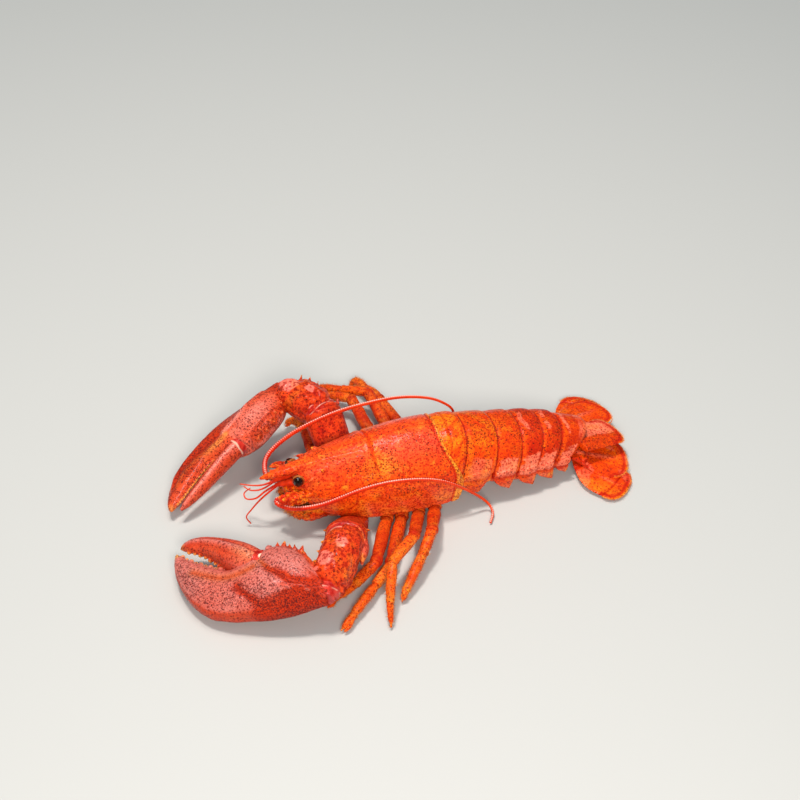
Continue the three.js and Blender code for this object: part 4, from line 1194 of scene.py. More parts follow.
def tail_plate(n):
    plate = RINGS[n]
    start = plate["start"] - (2.6 if n else 0)
    stop = plate["stop"] + (0.3 if n < len(RINGS) - 1 else 0)
    share = np.linspace(0, 1, 34)
    swell = np.interp(share, [0, 0.12, 0.3, 0.62, 0.93, 1], [-2.0, -1.2, -0.1, 0.5, 0.75, 0.25])
    if n == len(RINGS) - 1:
        swell = swell - 0.5 * share
    rings = np.array([tail_ring(start + (stop - start) * t, s) for t, s in zip(share, swell)])
    sides = np.minimum(np.abs(rings[:, :, 1]) / tail_at(stop)[1], 1)
    rings[:, :, 0] -= plate["cut_back"] * share[:, None] * sides**2
    skins = [loft(rings)]
    flapped = plate["hang"] > 0.5
    if flapped:
        skins += [lappet(plate, side) for side in SIDES.values()]
    mesh = fused(f"tail_ring_{n + 1}", skins, 0.5)
    p = points_of(mesh)
    x, y, z = p.T
    wide = np.abs(y)
    top, half, low, pitch = tail_at((start + stop) / 2)
    # How far back the slanted plate has come, its rear edge being cut back at the sides.
    square = x + (top - z) * np.tan(pitch)
    square += plate["cut_back"] * fade(square, start, stop) * np.minimum(wide / half, 1) ** 2
    back = (square - start) / (stop - start)
    long = stop - start
    crease = bell((back - 0.42) * long, 0.7) * (z > 12) * (1 if n == 0 else 0.12)
    rear_line = bell((back - 0.93) * long, 0.6) * (z > 16) * (0.3 if n else 1)
    waist = low + (top - low) * WAIST_SHARE
    fold = bell(z - waist + 1.5, 1.5) * (wide > half - 7) * flapped
    flank = fade(z, waist + 6, waist - 1)
    push(mesh, -0.4 * crease - 0.3 * rear_line - 0.5 * fold + 0.35 * bell(back - 0.6, 0.2) * flank)
    wander = drift(p, 8, 20 + n)
    edge = fade(back, 0.95, 0.99)
    # The front strip, where the plate comes out from under the one before, is painted dark: a painted shadow.
    seam = fade(back * long, 3.8, 3.0) * (n > 0)
    gold = plate["gold"] * fade(wander, -0.5, 0.6) + 0.12 * edge
    gold += 0.7 * bell(z - waist + 5.5, 1.4) * fade(back, 0.9, 0.97) * (wide > half - 5) * (n > 0)
    deep = seam + 0.6 * crease + 0.5 * rear_line + 0.5 * fold
    deep += plate["red"] * 1.1 * bell((z - top + 8) / 10, 1) * fade(back, 0.2, 0.45) * (0.8 + 0.3 * wander)
    # The rosy patches on the flanks above the waist, by the ridge, at the back of the last plate and low on
    # the lappets are painted highlights.
    ragged = 1.6 * drift(p, 3, 90 + n)
    height = z + ragged
    rise = top - waist
    patch = fade(height, waist - 1.5, waist + 0.5) * fade(height, waist + 0.5 * rise, waist + 0.42 * rise)
    patch *= fade(back + 0.05 * ragged, 0.22, 0.3) * fade(back, 0.94, 0.9)
    rosy = (0.9 if n > 1 else 0.4) * patch * (n > 0)
    ridge_highlight = bell(np.hypot((wide - 5 + 2 * ragged) / 6, (back * long - 6 - 0.3 * wide) / 2.2), 1)
    rosy += 0.75 * fade(ridge_highlight, 0.3, 0.7) * (n > 2)
    rosy += 0.7 * fade(back + 0.02 * ragged, 0.8, 0.84) * bell((wide - 7) / 6, 1) * (z > waist) * (n == 5)
    rosy += 0.4 * fade(z, waist - 1, waist - 4) * fade(wander, -0.2, 0.6) * (n > 1)
    speck = bell((wide - 9) / 10, 1) * (z > waist + 8)
    fleck = (0.55 * speck * (n in (1, 2, 3, 4)) * (0.8 + 0.5 * wander) + 0.06) * (1 - 0.7 * rosy) + 0.5 * seam
    mask(mesh, gold=gold, rosy=rosy, deep=deep * (1 - rosy), fleck=fleck, calm=edge)
    relief = {"Swell Size": 9.0, "Swell Height": 0.18, "Grain Height": 0.1}
    shell_piece(f"tail_plate_{n + 1}", mesh, TAIL, TAIL_SHELL, "tail_shell", f"tail_ring_{n + 1}", **relief)


# ---- tail fan ------------------------------------------------------------------------------------

# Where each blade starts from the fan's root, its heading in degrees from straight back, its bend, tilt and
# the height of its far end, its length, half widths at the root and at its widest, and the share of its
# length where its end starts to round off.
BLADES = {
    "telson": {
        "start": (2, -8, 17.5), "from": -0.35, "heading": 15, "bend": 0, "tilt": 0, "tip": 14,
        "length": 26, "root": 13.5, "half": 15, "round": 0.68,
    },
    "uropod_left_inner": {
        "start": (-10, -13.5, 12), "heading": -15, "bend": 0, "tilt": -0.12, "tip": 5,
        "length": 38, "root": 5, "half": 18.5, "round": 0.62,
    },
    "uropod_left_outer": {
        "start": (-6, -10, 9), "heading": -77, "bend": 32, "tilt": 0, "tip": 2.2,
        "length": 45, "root": 3.6, "half": 16, "round": 0.76,
    },
    "uropod_right_inner": {
        "start": (-8.5, 13.5, 14.5), "heading": 20, "bend": 0, "tilt": 0.1, "tip": 9.5,
        "length": 42, "root": 5, "half": 17.5, "round": 0.64,
    },
    "uropod_right_outer": {
        "start": (-1.5, 10, 10), "heading": 56, "bend": -8, "tilt": 0, "tip": 5.5,
        "length": 44, "root": 5, "half": 15.5, "round": 0.66,
    },
}
BLADE_TRIM = 0.6  # how far a blade stops short of its outline, for the fringe


def blade_rows(shape, shares):
    """Stations of a blade at shares of its length."""
    t = np.asarray(shares, float)
    chord = np.radians(shape["heading"] + shape["bend"] * t / 2)
    length = shape["length"] - BLADE_TRIM
    x, y, z = shape["start"]
    spread = shape["root"] + (shape["half"] - BLADE_TRIM - shape["root"]) * fade(t, -0.1, 0.6)
    turn = np.maximum(0, (t - shape["round"]) / (1 - shape["round"]))
    return np.stack(
        [
            FAN_ROOT + x + length * t * np.cos(chord),
            y + length * t * np.sin(chord),
            z + (shape["tip"] - z) * np.sin(t * np.pi / 2),
            spread * np.maximum(0.02, 1 - turn**3) ** 0.42,
            BLADE_HALF_THICKNESS * (1.5 - 0.95 * t),
        ],
        -1,
    )


def blade_edge(shape, from_share):
    """The rim of a blade, from a share of its length round its end and back: its points and ways out."""
    shares = from_share + (1 - from_share) * np.sin(np.linspace(0, np.pi / 2, 30))
    rows = blade_rows(shape, shares)
    ahead = np.gradient(rows[:, :3], axis=0)
    across = np.cross((0, 0, 1), ahead)
    across /= np.linalg.norm(across, axis=1, keepdims=True)
    left, right = rows[:, :3] - across * rows[:, 3:4], rows[:, :3] + across * rows[:, 3:4]
    rim = np.vstack([left, right[::-1]])
    way = np.cross(np.gradient(rim, axis=0), (0, 0, 1))
    way /= np.linalg.norm(way, axis=1, keepdims=True)
    return rim, way


def blade(name):
    shape = BLADES[name]
    outer, middle = name.endswith("outer"), name == "telson"
    length, half = shape["length"], shape["half"]
    first = shape.get("from", 0)
    rows = blade_rows(shape, 1 - (1 - first) * np.linspace(1, 0, 60) ** 1.6)
    face = (0, shape["tilt"], 1)
    skins = [limb(rows, 72, 1, power=3, face=face)]
    if not middle:
        for at, share, size in ((-0.5, 0.2, 2.6), (0.35, 0.24, 3), (0.05, 0.13, 2.4)):
            x, y, z, wide, thick = blade_rows(shape, [share])[0]
            skins.append(knob((x, y + at * wide, z + thick * 0.7), (size, size * 0.8, 1.3)))
    mesh = fused(name, skins, 0.42)
    p = points_of(mesh)
    steps = np.linspace(0, 1, 41)
    midline = blade_rows(shape, steps)[:, :3]
    share = along_path(p, midline)
    aside_x, aside_y = (p[:, axis] - np.interp(share, steps, midline[:, axis]) for axis in (0, 1))
    chord = np.radians(shape["heading"] + shape["bend"] * share)
    w = aside_y * np.cos(chord) - aside_x * np.sin(chord)
    up = normals_of(mesh)[:, 2] > 0.2
    rim, ways = blade_edge(shape, 0.78 if outer else 0.7)
    inside = distance_to(p[:, :2], rim[:, :2])
    root = 0.0 if middle else 0.26
    base = fade(share, root + 0.02, root - 0.03) * (root > 0)
    # A rounded rib down each side blade, two low ribs on the middle one, a joint at the root and a hinge
    # line across the outer ones.
    offsets = (-0.45, 0.45) if middle else (0.0,)
    rib = sum(bell(w - half * at * (0.4 + 0.6 * share), 1.6) for at in offsets) * fade(share, 0.95, 0.5)
    hinge = bell((share - 0.8 + 0.05 * (w / half) ** 2) * length, 0.8) * outer
    joint = bell((share - root) * length, 1.0) * (root > 0)
    lines = np.sin(np.arctan2(w, (share + 0.4) * length) * 70) * fade(share, 0.35, 0.7)
    amount = 0.5 * rib * (1 if not middle else 0.4) - 0.6 * hinge - 0.7 * joint + 0.06 * lines
    amount += 0.7 * drift(p, 3.5, 17) * base
    push(mesh, np.where(up, amount, 0.3 * amount))
    wander = drift(p, 8, 40 + len(name))
    deep = bell(inside - 2.2, 1.2) + 0.8 * hinge + 0.7 * joint + 0.5 * base * fade(wander, 0, -0.7)
    deep += 0.35 * middle * fade(w, 2, -6) + 0.25 * fade(wander, -0.2, -0.9)
    gold = 0.6 * fade(inside, 0.8, 0.2) + 0.22 * fade(wander, 0.2, 0.9)
    # Rosy streaks on the left blades, rosy along the side blades' ribs and the pink patch on the telson's far
    # half are painted highlights.
    sheen_streak = fade(drift(p * vec(1, 1, 0), 9, 60 + len(name)), 0.35, 0.5) * ("left" in name)
    rosy = 0.4 * sheen_streak + 0.5 * rib * (not middle) + 0.85 * middle * fade(w + 2 * wander, -2.5, -1)
    fleck = 0.04 * fade(wander, 0, 0.8) + 0.35 * middle * fade(w, 3, -3) + 0.25 * base
    mask(mesh, rosy=rosy, gold=gold, deep=deep, fleck=fleck, calm=fade(inside, 3, 1))
    relief = {"Swell Size": 8.0, "Swell Height": 0.3, "Grain Height": 0.06, "Pit Depth": 0.05}
    shell_piece(f"{name}_shell", mesh, TAIL, TAIL_SHELL, "tail_shell", name, **relief)
    line = chain(f"{name}_edge", rim)
    layer = line.attributes.new("way", "FLOAT_VECTOR", "POINT")
    layer.data.foreach_set("vector", ways.astype(np.float32).ravel())
    values = {"Spacing": 0.25, "Length": FRINGE_LENGTH, "Radius": 0.12, "Lean": 0.25, "Seed": len(name)}
    hairs = made_by(FRINGE_ROW, line, {**values, "Finish": FRINGE})
    hairs.transform(Matrix(TAIL))
    settle(f"{name}_fringe", hairs, FRINGE)


# ---- head ----------------------------------------------------------------------------------------


# The small shapes of the head, on the animal's right: stations [before the eyes, y, z, half width, half
# thickness], one table a joint. They are mirrored for its left.
FEELER_JOINTS = [
    [[3, 11, 24, 4.4, 4.2], [-1.5, 11.6, 24.4, 5.1, 4.7], [-4.6, 12, 24.5, 4.6, 4.3]],
    [[-3.6, 12, 24.5, 3.6, 3.4], [-6.6, 12.1, 24.5, 4.5, 4.1], [-9.6, 12, 24.5, 4.0, 3.7]],
    [[-9, 12, 24.5, 2.9, 2.8], [-11.4, 11.8, 24.3, 3.5, 3.3], [-14, 11.5, 24, 3.1, 2.9]],
]
FEELER_SCALE = [
    [1, 14, 28.5, 3.6, 1.6],
    [-6, 16.5, 29.5, 3.8, 1.2],
    [-10, 16.8, 29.6, 2.4, 0.8],
    [-13, 16.5, 29.5, 0.4, 0.3],
]
FEELERET_JOINTS = [
    [[2, 3.7, 30.8, 2.6, 2.7], [-3, 3.4, 30.6, 2.7, 2.7], [-6, 3.1, 30.5, 2.2, 2.2]],
    [[-5.4, 3.1, 30.5, 1.7, 1.7], [-8.4, 2.8, 30.4, 2.1, 2.1], [-10.6, 2.5, 30.2, 1.7, 1.7]],
    [[-10, 2.6, 30.3, 1.2, 1.2], [-12, 2.3, 30.1, 1.5, 1.5], [-14, 2.1, 30, 1.0, 1.0]],
]
JAW_JOINTS = [
    [[26, 9, 8, 2.8, 2.8], [20, 10.4, 8.3, 4.4, 4], [15, 11.2, 8.6, 4.4, 4.2]],
    [[16.5, 11, 8.5, 3.8, 3.6], [10, 11.8, 9, 5.2, 4.8], [4, 12, 9.6, 5.4, 4.9], [1, 11.6, 10.4, 4.2, 4]],
    [[2, 11.8, 10.2, 3.6, 3.4], [-1.5, 11, 11.2, 4.7, 4.3], [-5, 9.6, 12.8, 3.8, 3.6]],
    [[-4.2, 10, 12.4, 2.8, 2.7], [-6.6, 8.4, 14, 3.1, 2.9], [-8.4, 6.8, 15.6, 1.6, 1.5]],
]
FACE_CORE = [[12, 0, 22, 9, 8], [2, 0, 22.5, 7.4, 7.2], [-5, 0, 22.5, 4.9, 5.3], [-8, 0, 22, 1.9, 2.3]]
MOUTH_RELIEF = {"Swell Size": 4.0, "Swell Height": 0.4, "Grain Height": 0.2}


def on_head(rows, side, sides, steps):
    """The skin of one joint of the head, from its station table."""
    placed = [[x - SHIELD_LENGTH, *rest] for x, *rest in mirrored(rows, side)]
    return limb(placed, sides, steps)


def eye(word):
    side = SIDES[word]
    x, y, z = EYE_PLACE
    centre = vec(x, side * y, z)
    out = unit(vec(-0.45, side * 1.0, 0.12))
    ball = knob(centre, (EYE_RADIUS, EYE_RADIUS, EYE_RADIUS), out)
    profile = ((-4.5, 2.2), (-2.6, 3.0), (-1.2, 3.95), (-0.4, 3.85), (0.1, 3.2))
    collar = limb([[*(centre + out * reach), r, r] for reach, r in profile], 32, 4)
    mesh = fused(f"eye_{word}", [ball, collar], 0.25)
    reach = (points_of(mesh) - centre) @ out
    stalk = fade(reach, 0.35, -0.15)
    push(mesh, 0.12 * drift(points_of(mesh), 1.5, 5) * stalk)
    mask(mesh, stalk=stalk)
    mesh.transform(Matrix(BODY))
    settle(f"eye_ball_{word}", mesh, EYE, f"eye_{word}")


def feeler_base(word):
    """The jointed base of a long feeler, with the spiny scale beside it."""
    side = SIDES[word]
    skins = [on_head(rows, side, 32, 8) for rows in (*FEELER_JOINTS, FEELER_SCALE)]
    tips = [vec(-SHIELD_LENGTH - 13, side * 16.5, 29.5)]
    for x, y, z, length in ((-2, 16, 25, 3.2), (-7, 15.6, 26.5, 2.8), (-5, 15, 21.5, 2.4)):
        root, way = vec(x - SHIELD_LENGTH, side * (y - 1.6), z), vec(-1, side * 0.8, 0.1)
        skins.append(spine(root, way, length, 1.1))
        tips.append(root + unit(way) * length)
    mesh = fused(f"feeler_base_{word}", skins, 0.35, 1)
    p = points_of(mesh)
    push(mesh, 0.45 * drift(p, 1.8, 21))
    tip = nearest(p, tips)
    creases = sum(bell(p[:, 0] + SHIELD_LENGTH - at, 0.7) for at in (-4.2, -9.3))
    wander = drift(p, 2, 2)
    gold = 0.8 * fade(tip, 3, 0.5) + 0.6 * fade(wander, 0.2, 0.7)
    deep = 0.8 * creases + 0.9 * fade(wander, 0.1, -0.5)
    mask(mesh, gold=gold, deep=deep, rosy=0, fleck=0.2)
    relief = {"Swell Size": 5.0, "Swell Height": 0.25}
    shell_piece(f"feeler_stem_{word}", mesh, BODY, BACK_SHELL, "body_shell", f"feeler_base_{word}", **relief)


FEELERETS = {
    "left": [
        [
            [-104.5, -2.2, 29.9],
            [-112.1, -3.6, 26],
            [-117.7, -2.4, 20],
            [-123, -1.4, 13],
            [-126.3, -0.4, 7],
            [-124, -1.9, 2],
        ],
        [
            [-105.5, -2.1, 30.4],
            [-113.6, -2.2, 26.6],
            [-119.5, -1.4, 21.8],
            [-124.6, 3, 19],
            [-125, 7.6, 20],
            [-120.6, 8.3, 22.6],
        ],
    ],
    "right": [
        [[-104.5, 2.7, 30.2], [-112.9, 1.6, 29], [-119.4, 5.2, 27], [-126.4, 11.5, 25]],
        [[-105.5, 2, 30], [-112.6, 0.4, 27.5], [-117.6, 1.6, 25.5], [-121.9, 4.6, 24.4], [-124.6, 8.9, 24.6]],
    ],
}


def ringed(name, route, root, tip, spacing, sides, matrix, pale):
    """The mesh of a ringed feeler along a route, in place on the table."""
    values = {"Root Radius": root, "Tip Radius": tip, "Ring Spacing": spacing, "Ring Depth": 0.2}
    line = chain(name, between(route, 8))
    mesh = made_by(RINGED_FEELER, line, {**values, "Sides": sides, "Finish": FEELER})
    mesh.transform(Matrix(matrix))
    # A pale stripe painted on the faces turned up, as strong as `pale`: a painted highlight.
    mask(mesh, top=pale * fade(normals_of(mesh)[:, 2], 0.84, 0.98))
    return mesh


def joined(name, meshes):
    """Several meshes as one."""
    objects = [with_object(mesh) for mesh in meshes]
    with bpy.context.temp_override(active_object=objects[0], selected_editable_objects=objects):
        bpy.ops.object.join()
    mesh = objects[0].data
    bpy.data.objects.remove(objects[0])
    mesh.name = name
    return mesh


def feelerets(word):
    """The pair of short forked feelers under the beak."""
    skins = [on_head(rows, SIDES[word], 20, 6) for rows in FEELERET_JOINTS]
    base = fused(f"feelerets_{word}", skins, 0.3, 1)
    mask(base, ring=0.4, along=0.3)
    base.transform(Matrix(BODY))
    whips = [ringed("whip", route, 0.78, 0.4, 1.1, 8, BODY, 0.15) for route in FEELERETS[word]]
    mesh = joined(f"feelerets_{word}", [base, *whips])
    settle(f"short_feelers_{word}", mesh, FEELER, f"feelerets_{word}")


def jaw_foot(word):
    """The folded, bristly jaw foot below each side of the mouth."""
    skins = [on_head(rows, SIDES[word], 32, 8) for rows in JAW_JOINTS]
    mesh = fused(f"jaw_foot_{word}", skins, 0.38, 1)
    p = points_of(mesh)
    x, y, z = p.T
    wander = drift(p, 3, 9)
    push(mesh, 0.35 * drift(p, 2.2, 4))
    upper = fade(z, 11, 15) * fade(np.abs(y), 14, 11)
    gold = 0.5 * fade(wander, 0, 0.8) + 0.3 * upper
    hairy = fade(z, 9, 13) * fade(x + SHIELD_LENGTH, 8, 2)
    mask(mesh, gold=gold, deep=0.5 * fade(wander, -0.1, -0.9), rosy=0.3 * (z < 9), fleck=0.2, hairy=hairy)
    foot = shell_piece(
        f"jaw_shell_{word}", mesh, BODY, BACK_SHELL, "body_shell", f"jaw_foot_{word}", **MOUTH_RELIEF
    )
    hair = {"Density": 2.2, "Length": 3.0, "Radius": 0.12, "Lean": 0.8, "Seed": 7}
    hair_piece(f"jaw_bristles_{word}", foot, BRISTLE, "body_shell", **hair)


def face():
    """The mouth parts between the feelers: small folded plates, with bristles."""
    skins = [on_head(FACE_CORE, 1, 40, 6)]
    rng = np.random.default_rng(12)
    for side in SIDES.values():
        for n in range(7):
            place = vec(n * 1.5 - 6 - SHIELD_LENGTH, side * (3.6 + 0.62 * n), 17.2 + rng.uniform(-1, 4.5))
            skins.append(knob(place, (1.7, 1.3, 2.6), (-0.8, side * 0.5, rng.uniform(-0.4, 0.4))))
    mesh = fused("face", skins, 0.4, 1)
    p = points_of(mesh)
    wander = drift(p, 3, 11)
    push(mesh, 0.3 * drift(p, 2, 13))
    gold, deep = 0.6 * fade(wander, -0.1, 0.7), 0.7 * fade(wander, 0, -0.8)
    mask(mesh, gold=gold, deep=deep, rosy=0, fleck=0.3, hairy=fade(p[:, 2], 24, 19))
    plates = shell_piece("face_plates", mesh, BODY, TAIL_SHELL, "tail_shell", "face", **MOUTH_RELIEF)
    hair = {"Density": 1.6, "Length": 2.6, "Radius": 0.12, "Lean": 0.9, "Seed": 3}
    hair_piece("face_bristles", plates, BRISTLE, "tail_shell", **hair)


# ---- arms ----------------------------------------------------------------------------------------

ARMS = {
    "left": {
        "upper": [
            [-28, -9, 5.5, 7.5, 3.8],
            [-29.5, -23, 6, 9.5, 4.8],
            [-31.5, -42, 16.5, 11.5, 8],
            [-33, -62, 29.5, 13, 10],
            [-33.5, -66, 32, 11, 8.5],
        ],
        "wrist": [
            [-33.5, -64, 32, 8, 7.5],
            [-33.5, -69, 32, 11.6, 11],
            [-37, -82, 29.5, 12, 12],
            [-41.5, -95, 25, 12, 11],
            [-43.5, -102, 21.5, 9.5, 8.5],
        ],
        "thorn_way": (-1, 0.1, 0.4),
        "thorn": 3.8,
        "bulges": [(-5, -0.1, 0.95, 3.8), (7.5, 0.45, 0.85, 5), (14, 0.7, 0.45, 3)],
        "lobe": [[-26, -58, 27, 5, 5], [-22.5, -71, 28, 3.6, 5], [-23, -84, 27, 0.7, 0.9]],
    },
    "right": {
        "upper": [
            [-36, 16, 9.5, 8, 6],
            [-40, 28, 15, 11, 7.5],
            [-46, 41, 25, 12.5, 9],
            [-51, 51, 34, 13, 10],
            [-52.5, 54, 36, 11, 8.5],
        ],
        "wrist": [
            [-52, 52, 36, 8, 7.5],
            [-55.5, 55.5, 37, 12.5, 11],
            [-64, 62.5, 37.5, 13, 12],
            [-73.5, 68, 36.5, 11.5, 10.5],
            [-78.5, 70.5, 35.5, 9, 8],
        ],
        "thorn_way": (0.3, 1, 0.5),
        "thorn": 7.5,
        "bulges": [(-5, 0.1, 0.97, 3.4), (10, -0.15, 0.93, 6.6), (3, 0.7, 0.65, 2.6)],
        "lobe": [[-43, 45, 31, 4.5, 5], [-42, 54, 35, 2.8, 3.4], [-41, 60, 40, 0.5, 0.6]],
    },
}


WRIST_GULLY = np.array([[-12, -1, 10], [-3, 2, 11], [4, 5, 9], [12, 6, 7]])


def upper_arm(word):
    arm = ARMS[word]
    x, y, z, width, _ = arm["upper"][3]
    outward = SIDES[word]
    skins = [limb(arm["upper"], 64, 10, power=2.3), limb(arm["lobe"], 32, 8)]
    tips = []
    for t in (-0.8, 0.9):
        root, way = vec(x + width * t * 0.95, y - 2 * outward, z + 3), vec(t, 0.45 * outward, 0.4)
        skins.append(spine(root, way, 5, 2))
        tips.append(root + unit(way) * 5)
    mesh = fused(f"upper_arm_{word}", skins, 0.45)
    p = points_of(mesh)
    share = along_path(p, between(arm["upper"], 6)[:, :3])
    collar = fade(share, 0.86, 0.9)
    groove = bell((share - 0.83) * 60, 1.2)
    push(mesh, -0.6 * groove + 0.25 * collar)
    tip = nearest(p, tips)
    wander = drift(p, 6, 70)
    gold = 0.8 * fade(tip, 4, 0.8) + 0.5 * fade(share, 0.93, 0.98) * fade(wander, -0.3, 0.5)
    deep = 0.5 + 0.4 * groove + 0.4 * wander - 0.5 * collar
    mask(mesh, gold=gold, deep=deep, rosy=0.3 * collar, fleck=0.2 + 0.2 * wander, calm=0.4 * collar)
    shell_piece(f"upper_arm_shell_{word}", mesh, TABLE, ARM_SHELL, "body_shell", f"upper_arm_{word}")


def wrist(word):
    arm = ARMS[word]
    rows = arm["wrist"]
    middle, thick = vec(*rows[2][:3]), rows[2][4]
    along = unit(vec(*rows[3][:3]) - vec(*rows[1][:3]))
    way = unit(arm["thorn_way"])
    skins = [limb(rows, 64, 10, power=2.3)]
    tips = []
    for shift, share in ((-7, 0.8), (0, 1), (7, 0.75)):
        root, length = middle + along * shift + way * thick * 0.92, arm["thorn"] * share
        skins.append(spine(root, way, length, 2.2))
        tips.append(root + way * length)
    side = unit(np.cross(along, (0, 0, 1)))
    up = np.cross(side, along)
    bulges = [(vec(a, thick * b, thick * c), size) for a, b, c, size in arm["bulges"]]
    for place, size in bulges:
        out = side * place[1] + up * place[2]
        radii = (size * 1.15, size * 0.9, size * 0.45)
        skins.append(knob(middle + along * place[0] + out * 0.82, radii, out))
    mesh = fused(f"wrist_{word}", skins, 0.45)
    p = points_of(mesh)
    share = along_path(p, between(rows, 6)[:, :3])
    local = np.stack([(p - middle) @ along, (p - middle) @ side, (p - middle) @ up], -1)
    gully = bell(distance_to(local, WRIST_GULLY), 1.4)
    cuff = bell((share - 0.14) * 42, 1.0) + bell((share - 0.86) * 42, 1.0)
    push(mesh, -0.9 * gully - 0.5 * cuff + 0.7 * drift(p, 4, 27))
    tip = nearest(p, tips)
    wander = drift(p, 7, 80)
    # The bulges are painted rosy: a painted highlight on the knobs.
    ragged = 1.1 * drift(p, 3.2, 15)
    bumps = np.max([fade(nearest(local, [at]) + ragged, r * 1.15, r * 0.85) for at, r in bulges], 0)
    gold = 0.85 * fade(tip, 3.4, 0.6) + 0.15 * fade(wander, 0.2, 0.9)
    deep = 0.7 * gully + 0.7 * cuff + 0.4 * fade(wander, 0, -0.8)
    fleck = 0.3 * (1 - bumps)
    mask(mesh, gold=gold, deep=deep * (1 - bumps), rosy=0.95 * bumps, fleck=fleck, calm=bumps)
    shell_piece(f"wrist_shell_{word}", mesh, TABLE, ARM_SHELL, "body_shell", f"wrist_{word}")


def joint_skin(name, rows, folds, matrix, pale=0.35):
    """The soft wet skin that shows in a joint, in folds round it."""
    mesh = fused(name, [limb(rows, 48, 12)], 0.45, 1)
    p = points_of(mesh)
    share = along_path(p, between(rows, 6)[:, :3])
    wave = np.sin(share * np.pi * 2 * folds + 0.8 * drift(p, 4, 5))
    push(mesh, 0.45 * wave)
    mask(mesh, fold=pale * fade(wave, 0.78, 1) * fade(drift(p, 3, 6), -0.5, 0.1))
    mesh.transform(Matrix(matrix))
    settle(name, mesh, JOINT_SKIN)


# ---- claws ---------------------------------------------------------------------------------------

# Each claw in its own frame: +X to the fingertips, +Y to its inner edge, where the moving finger is.
CLAWS = {
    "left": {
        "place": (-43.6, -106, 24.2),
        "points": (-137.2, -57.4, 11.8),
        "roll": 14,
        "inner": -1,
        "power": 2.25,
        "palm": [
            [-3, -0.8, 0, 6.2, 6],
            [4, -2.3, 0, 8.8, 8.5],
            [13, -2.8, 0, 15.5, 11.5],
            [27, -3, 0, 23.5, 14.2],
            [40, -5.3, 0, 26.2, 14.6],
            [47, -8.2, 0, 26.2, 13.6],
            [54, -13.3, 0, 22.9, 12],
            [63, -20.2, 0, 16.9, 10.4],
            [76, -19.6, 0, 13.9, 9.2],
            [88, -15.8, 0, 10.4, 7.4],
            [96, -12, 0, 7.4, 5.4],
            [102, -7.5, 0.4, 4.3, 3.5],
            [105.5, -3.8, 0.8, 1.4, 1.2],
        ],
        "finger": [
            [48, 4.8, 3, 5.6, 6.5],
            [51, 4.3, 3.8, 8.7, 9.4],
            [58, 4.3, 3.8, 10.3, 10],
            [68, 5.7, 3.2, 9.9, 9.2],
            [81, 7.7, 2, 7.4, 7.8],
            [91, 8, 1.2, 6, 6],
            [98.5, 6.4, 1, 4.8, 4.8],
            [103, 4.4, 1, 3.2, 2.8],
            [105.5, 2.6, 1, 1.1, 1],
        ],
        "hinge": [[46, 13.5, 9, 1, 1], [47.5, 16, 4.5, 2.6, 2.6], [48, 16.5, 0, 1, 1]],
        "knuckle": [
            [44.5, 5.5, 4.2, 6, 6],
            [47.5, 5.2, 4.3, 8.2, 8.3],
            [50.5, 4.8, 4.2, 8.3, 8.6],
            [54, 4.6, 4, 7, 7.5],
            [50.3, 4.5, 3.8, 8.4, 9.1],
        ],
        "fixed_teeth": {"start": 65, "stop": 101, "count": 11, "radius": 2.3},
        "finger_teeth": {"start": 66, "stop": 99, "count": 9, "radius": 2.0},
        "thorns": {"start": 11, "stop": 43, "count": 9, "length": 5.4, "radius": 2.9, "lifts": (3.5, 5)},
    },
    "right": {
        "place": (-79.4, 71.5, 34.5),
        "points": (-145.9, -14.6, 7),
        "roll": 12,
        "inner": 1,
        "power": 2.6,
        "palm": [
            [-5, -0.8, 0, 7.5, 6.5],
            [4, -0.5, 0, 9.6, 8],
            [14, 0.4, 0, 13.2, 10],
            [28, -1, 0, 15.6, 11.4],
            [40, -2.7, 0, 16.7, 11.4],
            [49, -5.2, 0, 15.8, 10.4],
            [57, -9.6, 0, 12.2, 8.8],
            [66, -13, 0, 9, 7.4],
            [78, -12.8, 0, 8.9, 6.4],
            [90, -10.9, 0, 8.4, 5.4],
            [101, -7.3, 0, 6.5, 4],
            [108, -4, 0.3, 3.9, 2.6],
            [112.5, -1, 0.5, 1.4, 1],
        ],
        "finger": [
            [43, 6.5, 1.5, 4.6, 5.6],
            [52, 6, 2, 5.4, 6.2],
            [66, 5.8, 2, 5, 5.8],
            [82, 6.2, 1.6, 4.4, 4.9],
            [96, 6.2, 1.2, 3.4, 3.7],
            [105, 6, 1, 2, 2.2],
            [109, 5.8, 1, 0.7, 0.8],
        ],
        "hinge": [
            [46, 2, 9, 1.2, 1.2],
            [46, 6, 8.6, 3, 2.6],
            [46, 10.8, 4.5, 3.6, 3.2],
            [47, 11.8, -3, 2.2, 2.2],
        ],
        "knuckle": [
            [44, 6.2, 1.8, 4.2, 5.4],
            [47.5, 6.4, 2, 6, 6.8],
            [50.5, 6.2, 2, 6, 6.8],
            [53.5, 6, 2, 4.8, 5.8],
            [50.5, 6.2, 1.9, 5, 5.9],
        ],
        "fixed_teeth": {"start": 60, "stop": 106, "count": 22, "radius": 1.5},
        "finger_teeth": {"start": 56, "stop": 102, "count": 20, "radius": 1.3},
        "thorns": {"start": 10, "stop": 39, "count": 8, "length": 4.2, "radius": 2.1, "lifts": (5.5, 1)},
    },
}


def edge_at(stations, x, side):
    """The y of a station table's edge at x, on the inner (+1) or outer (-1) side."""
    rows = np.asarray(stations, float)
    return np.interp(x, rows[:, 0], rows[:, 1]) + side * np.interp(x, rows[:, 0], rows[:, 3])


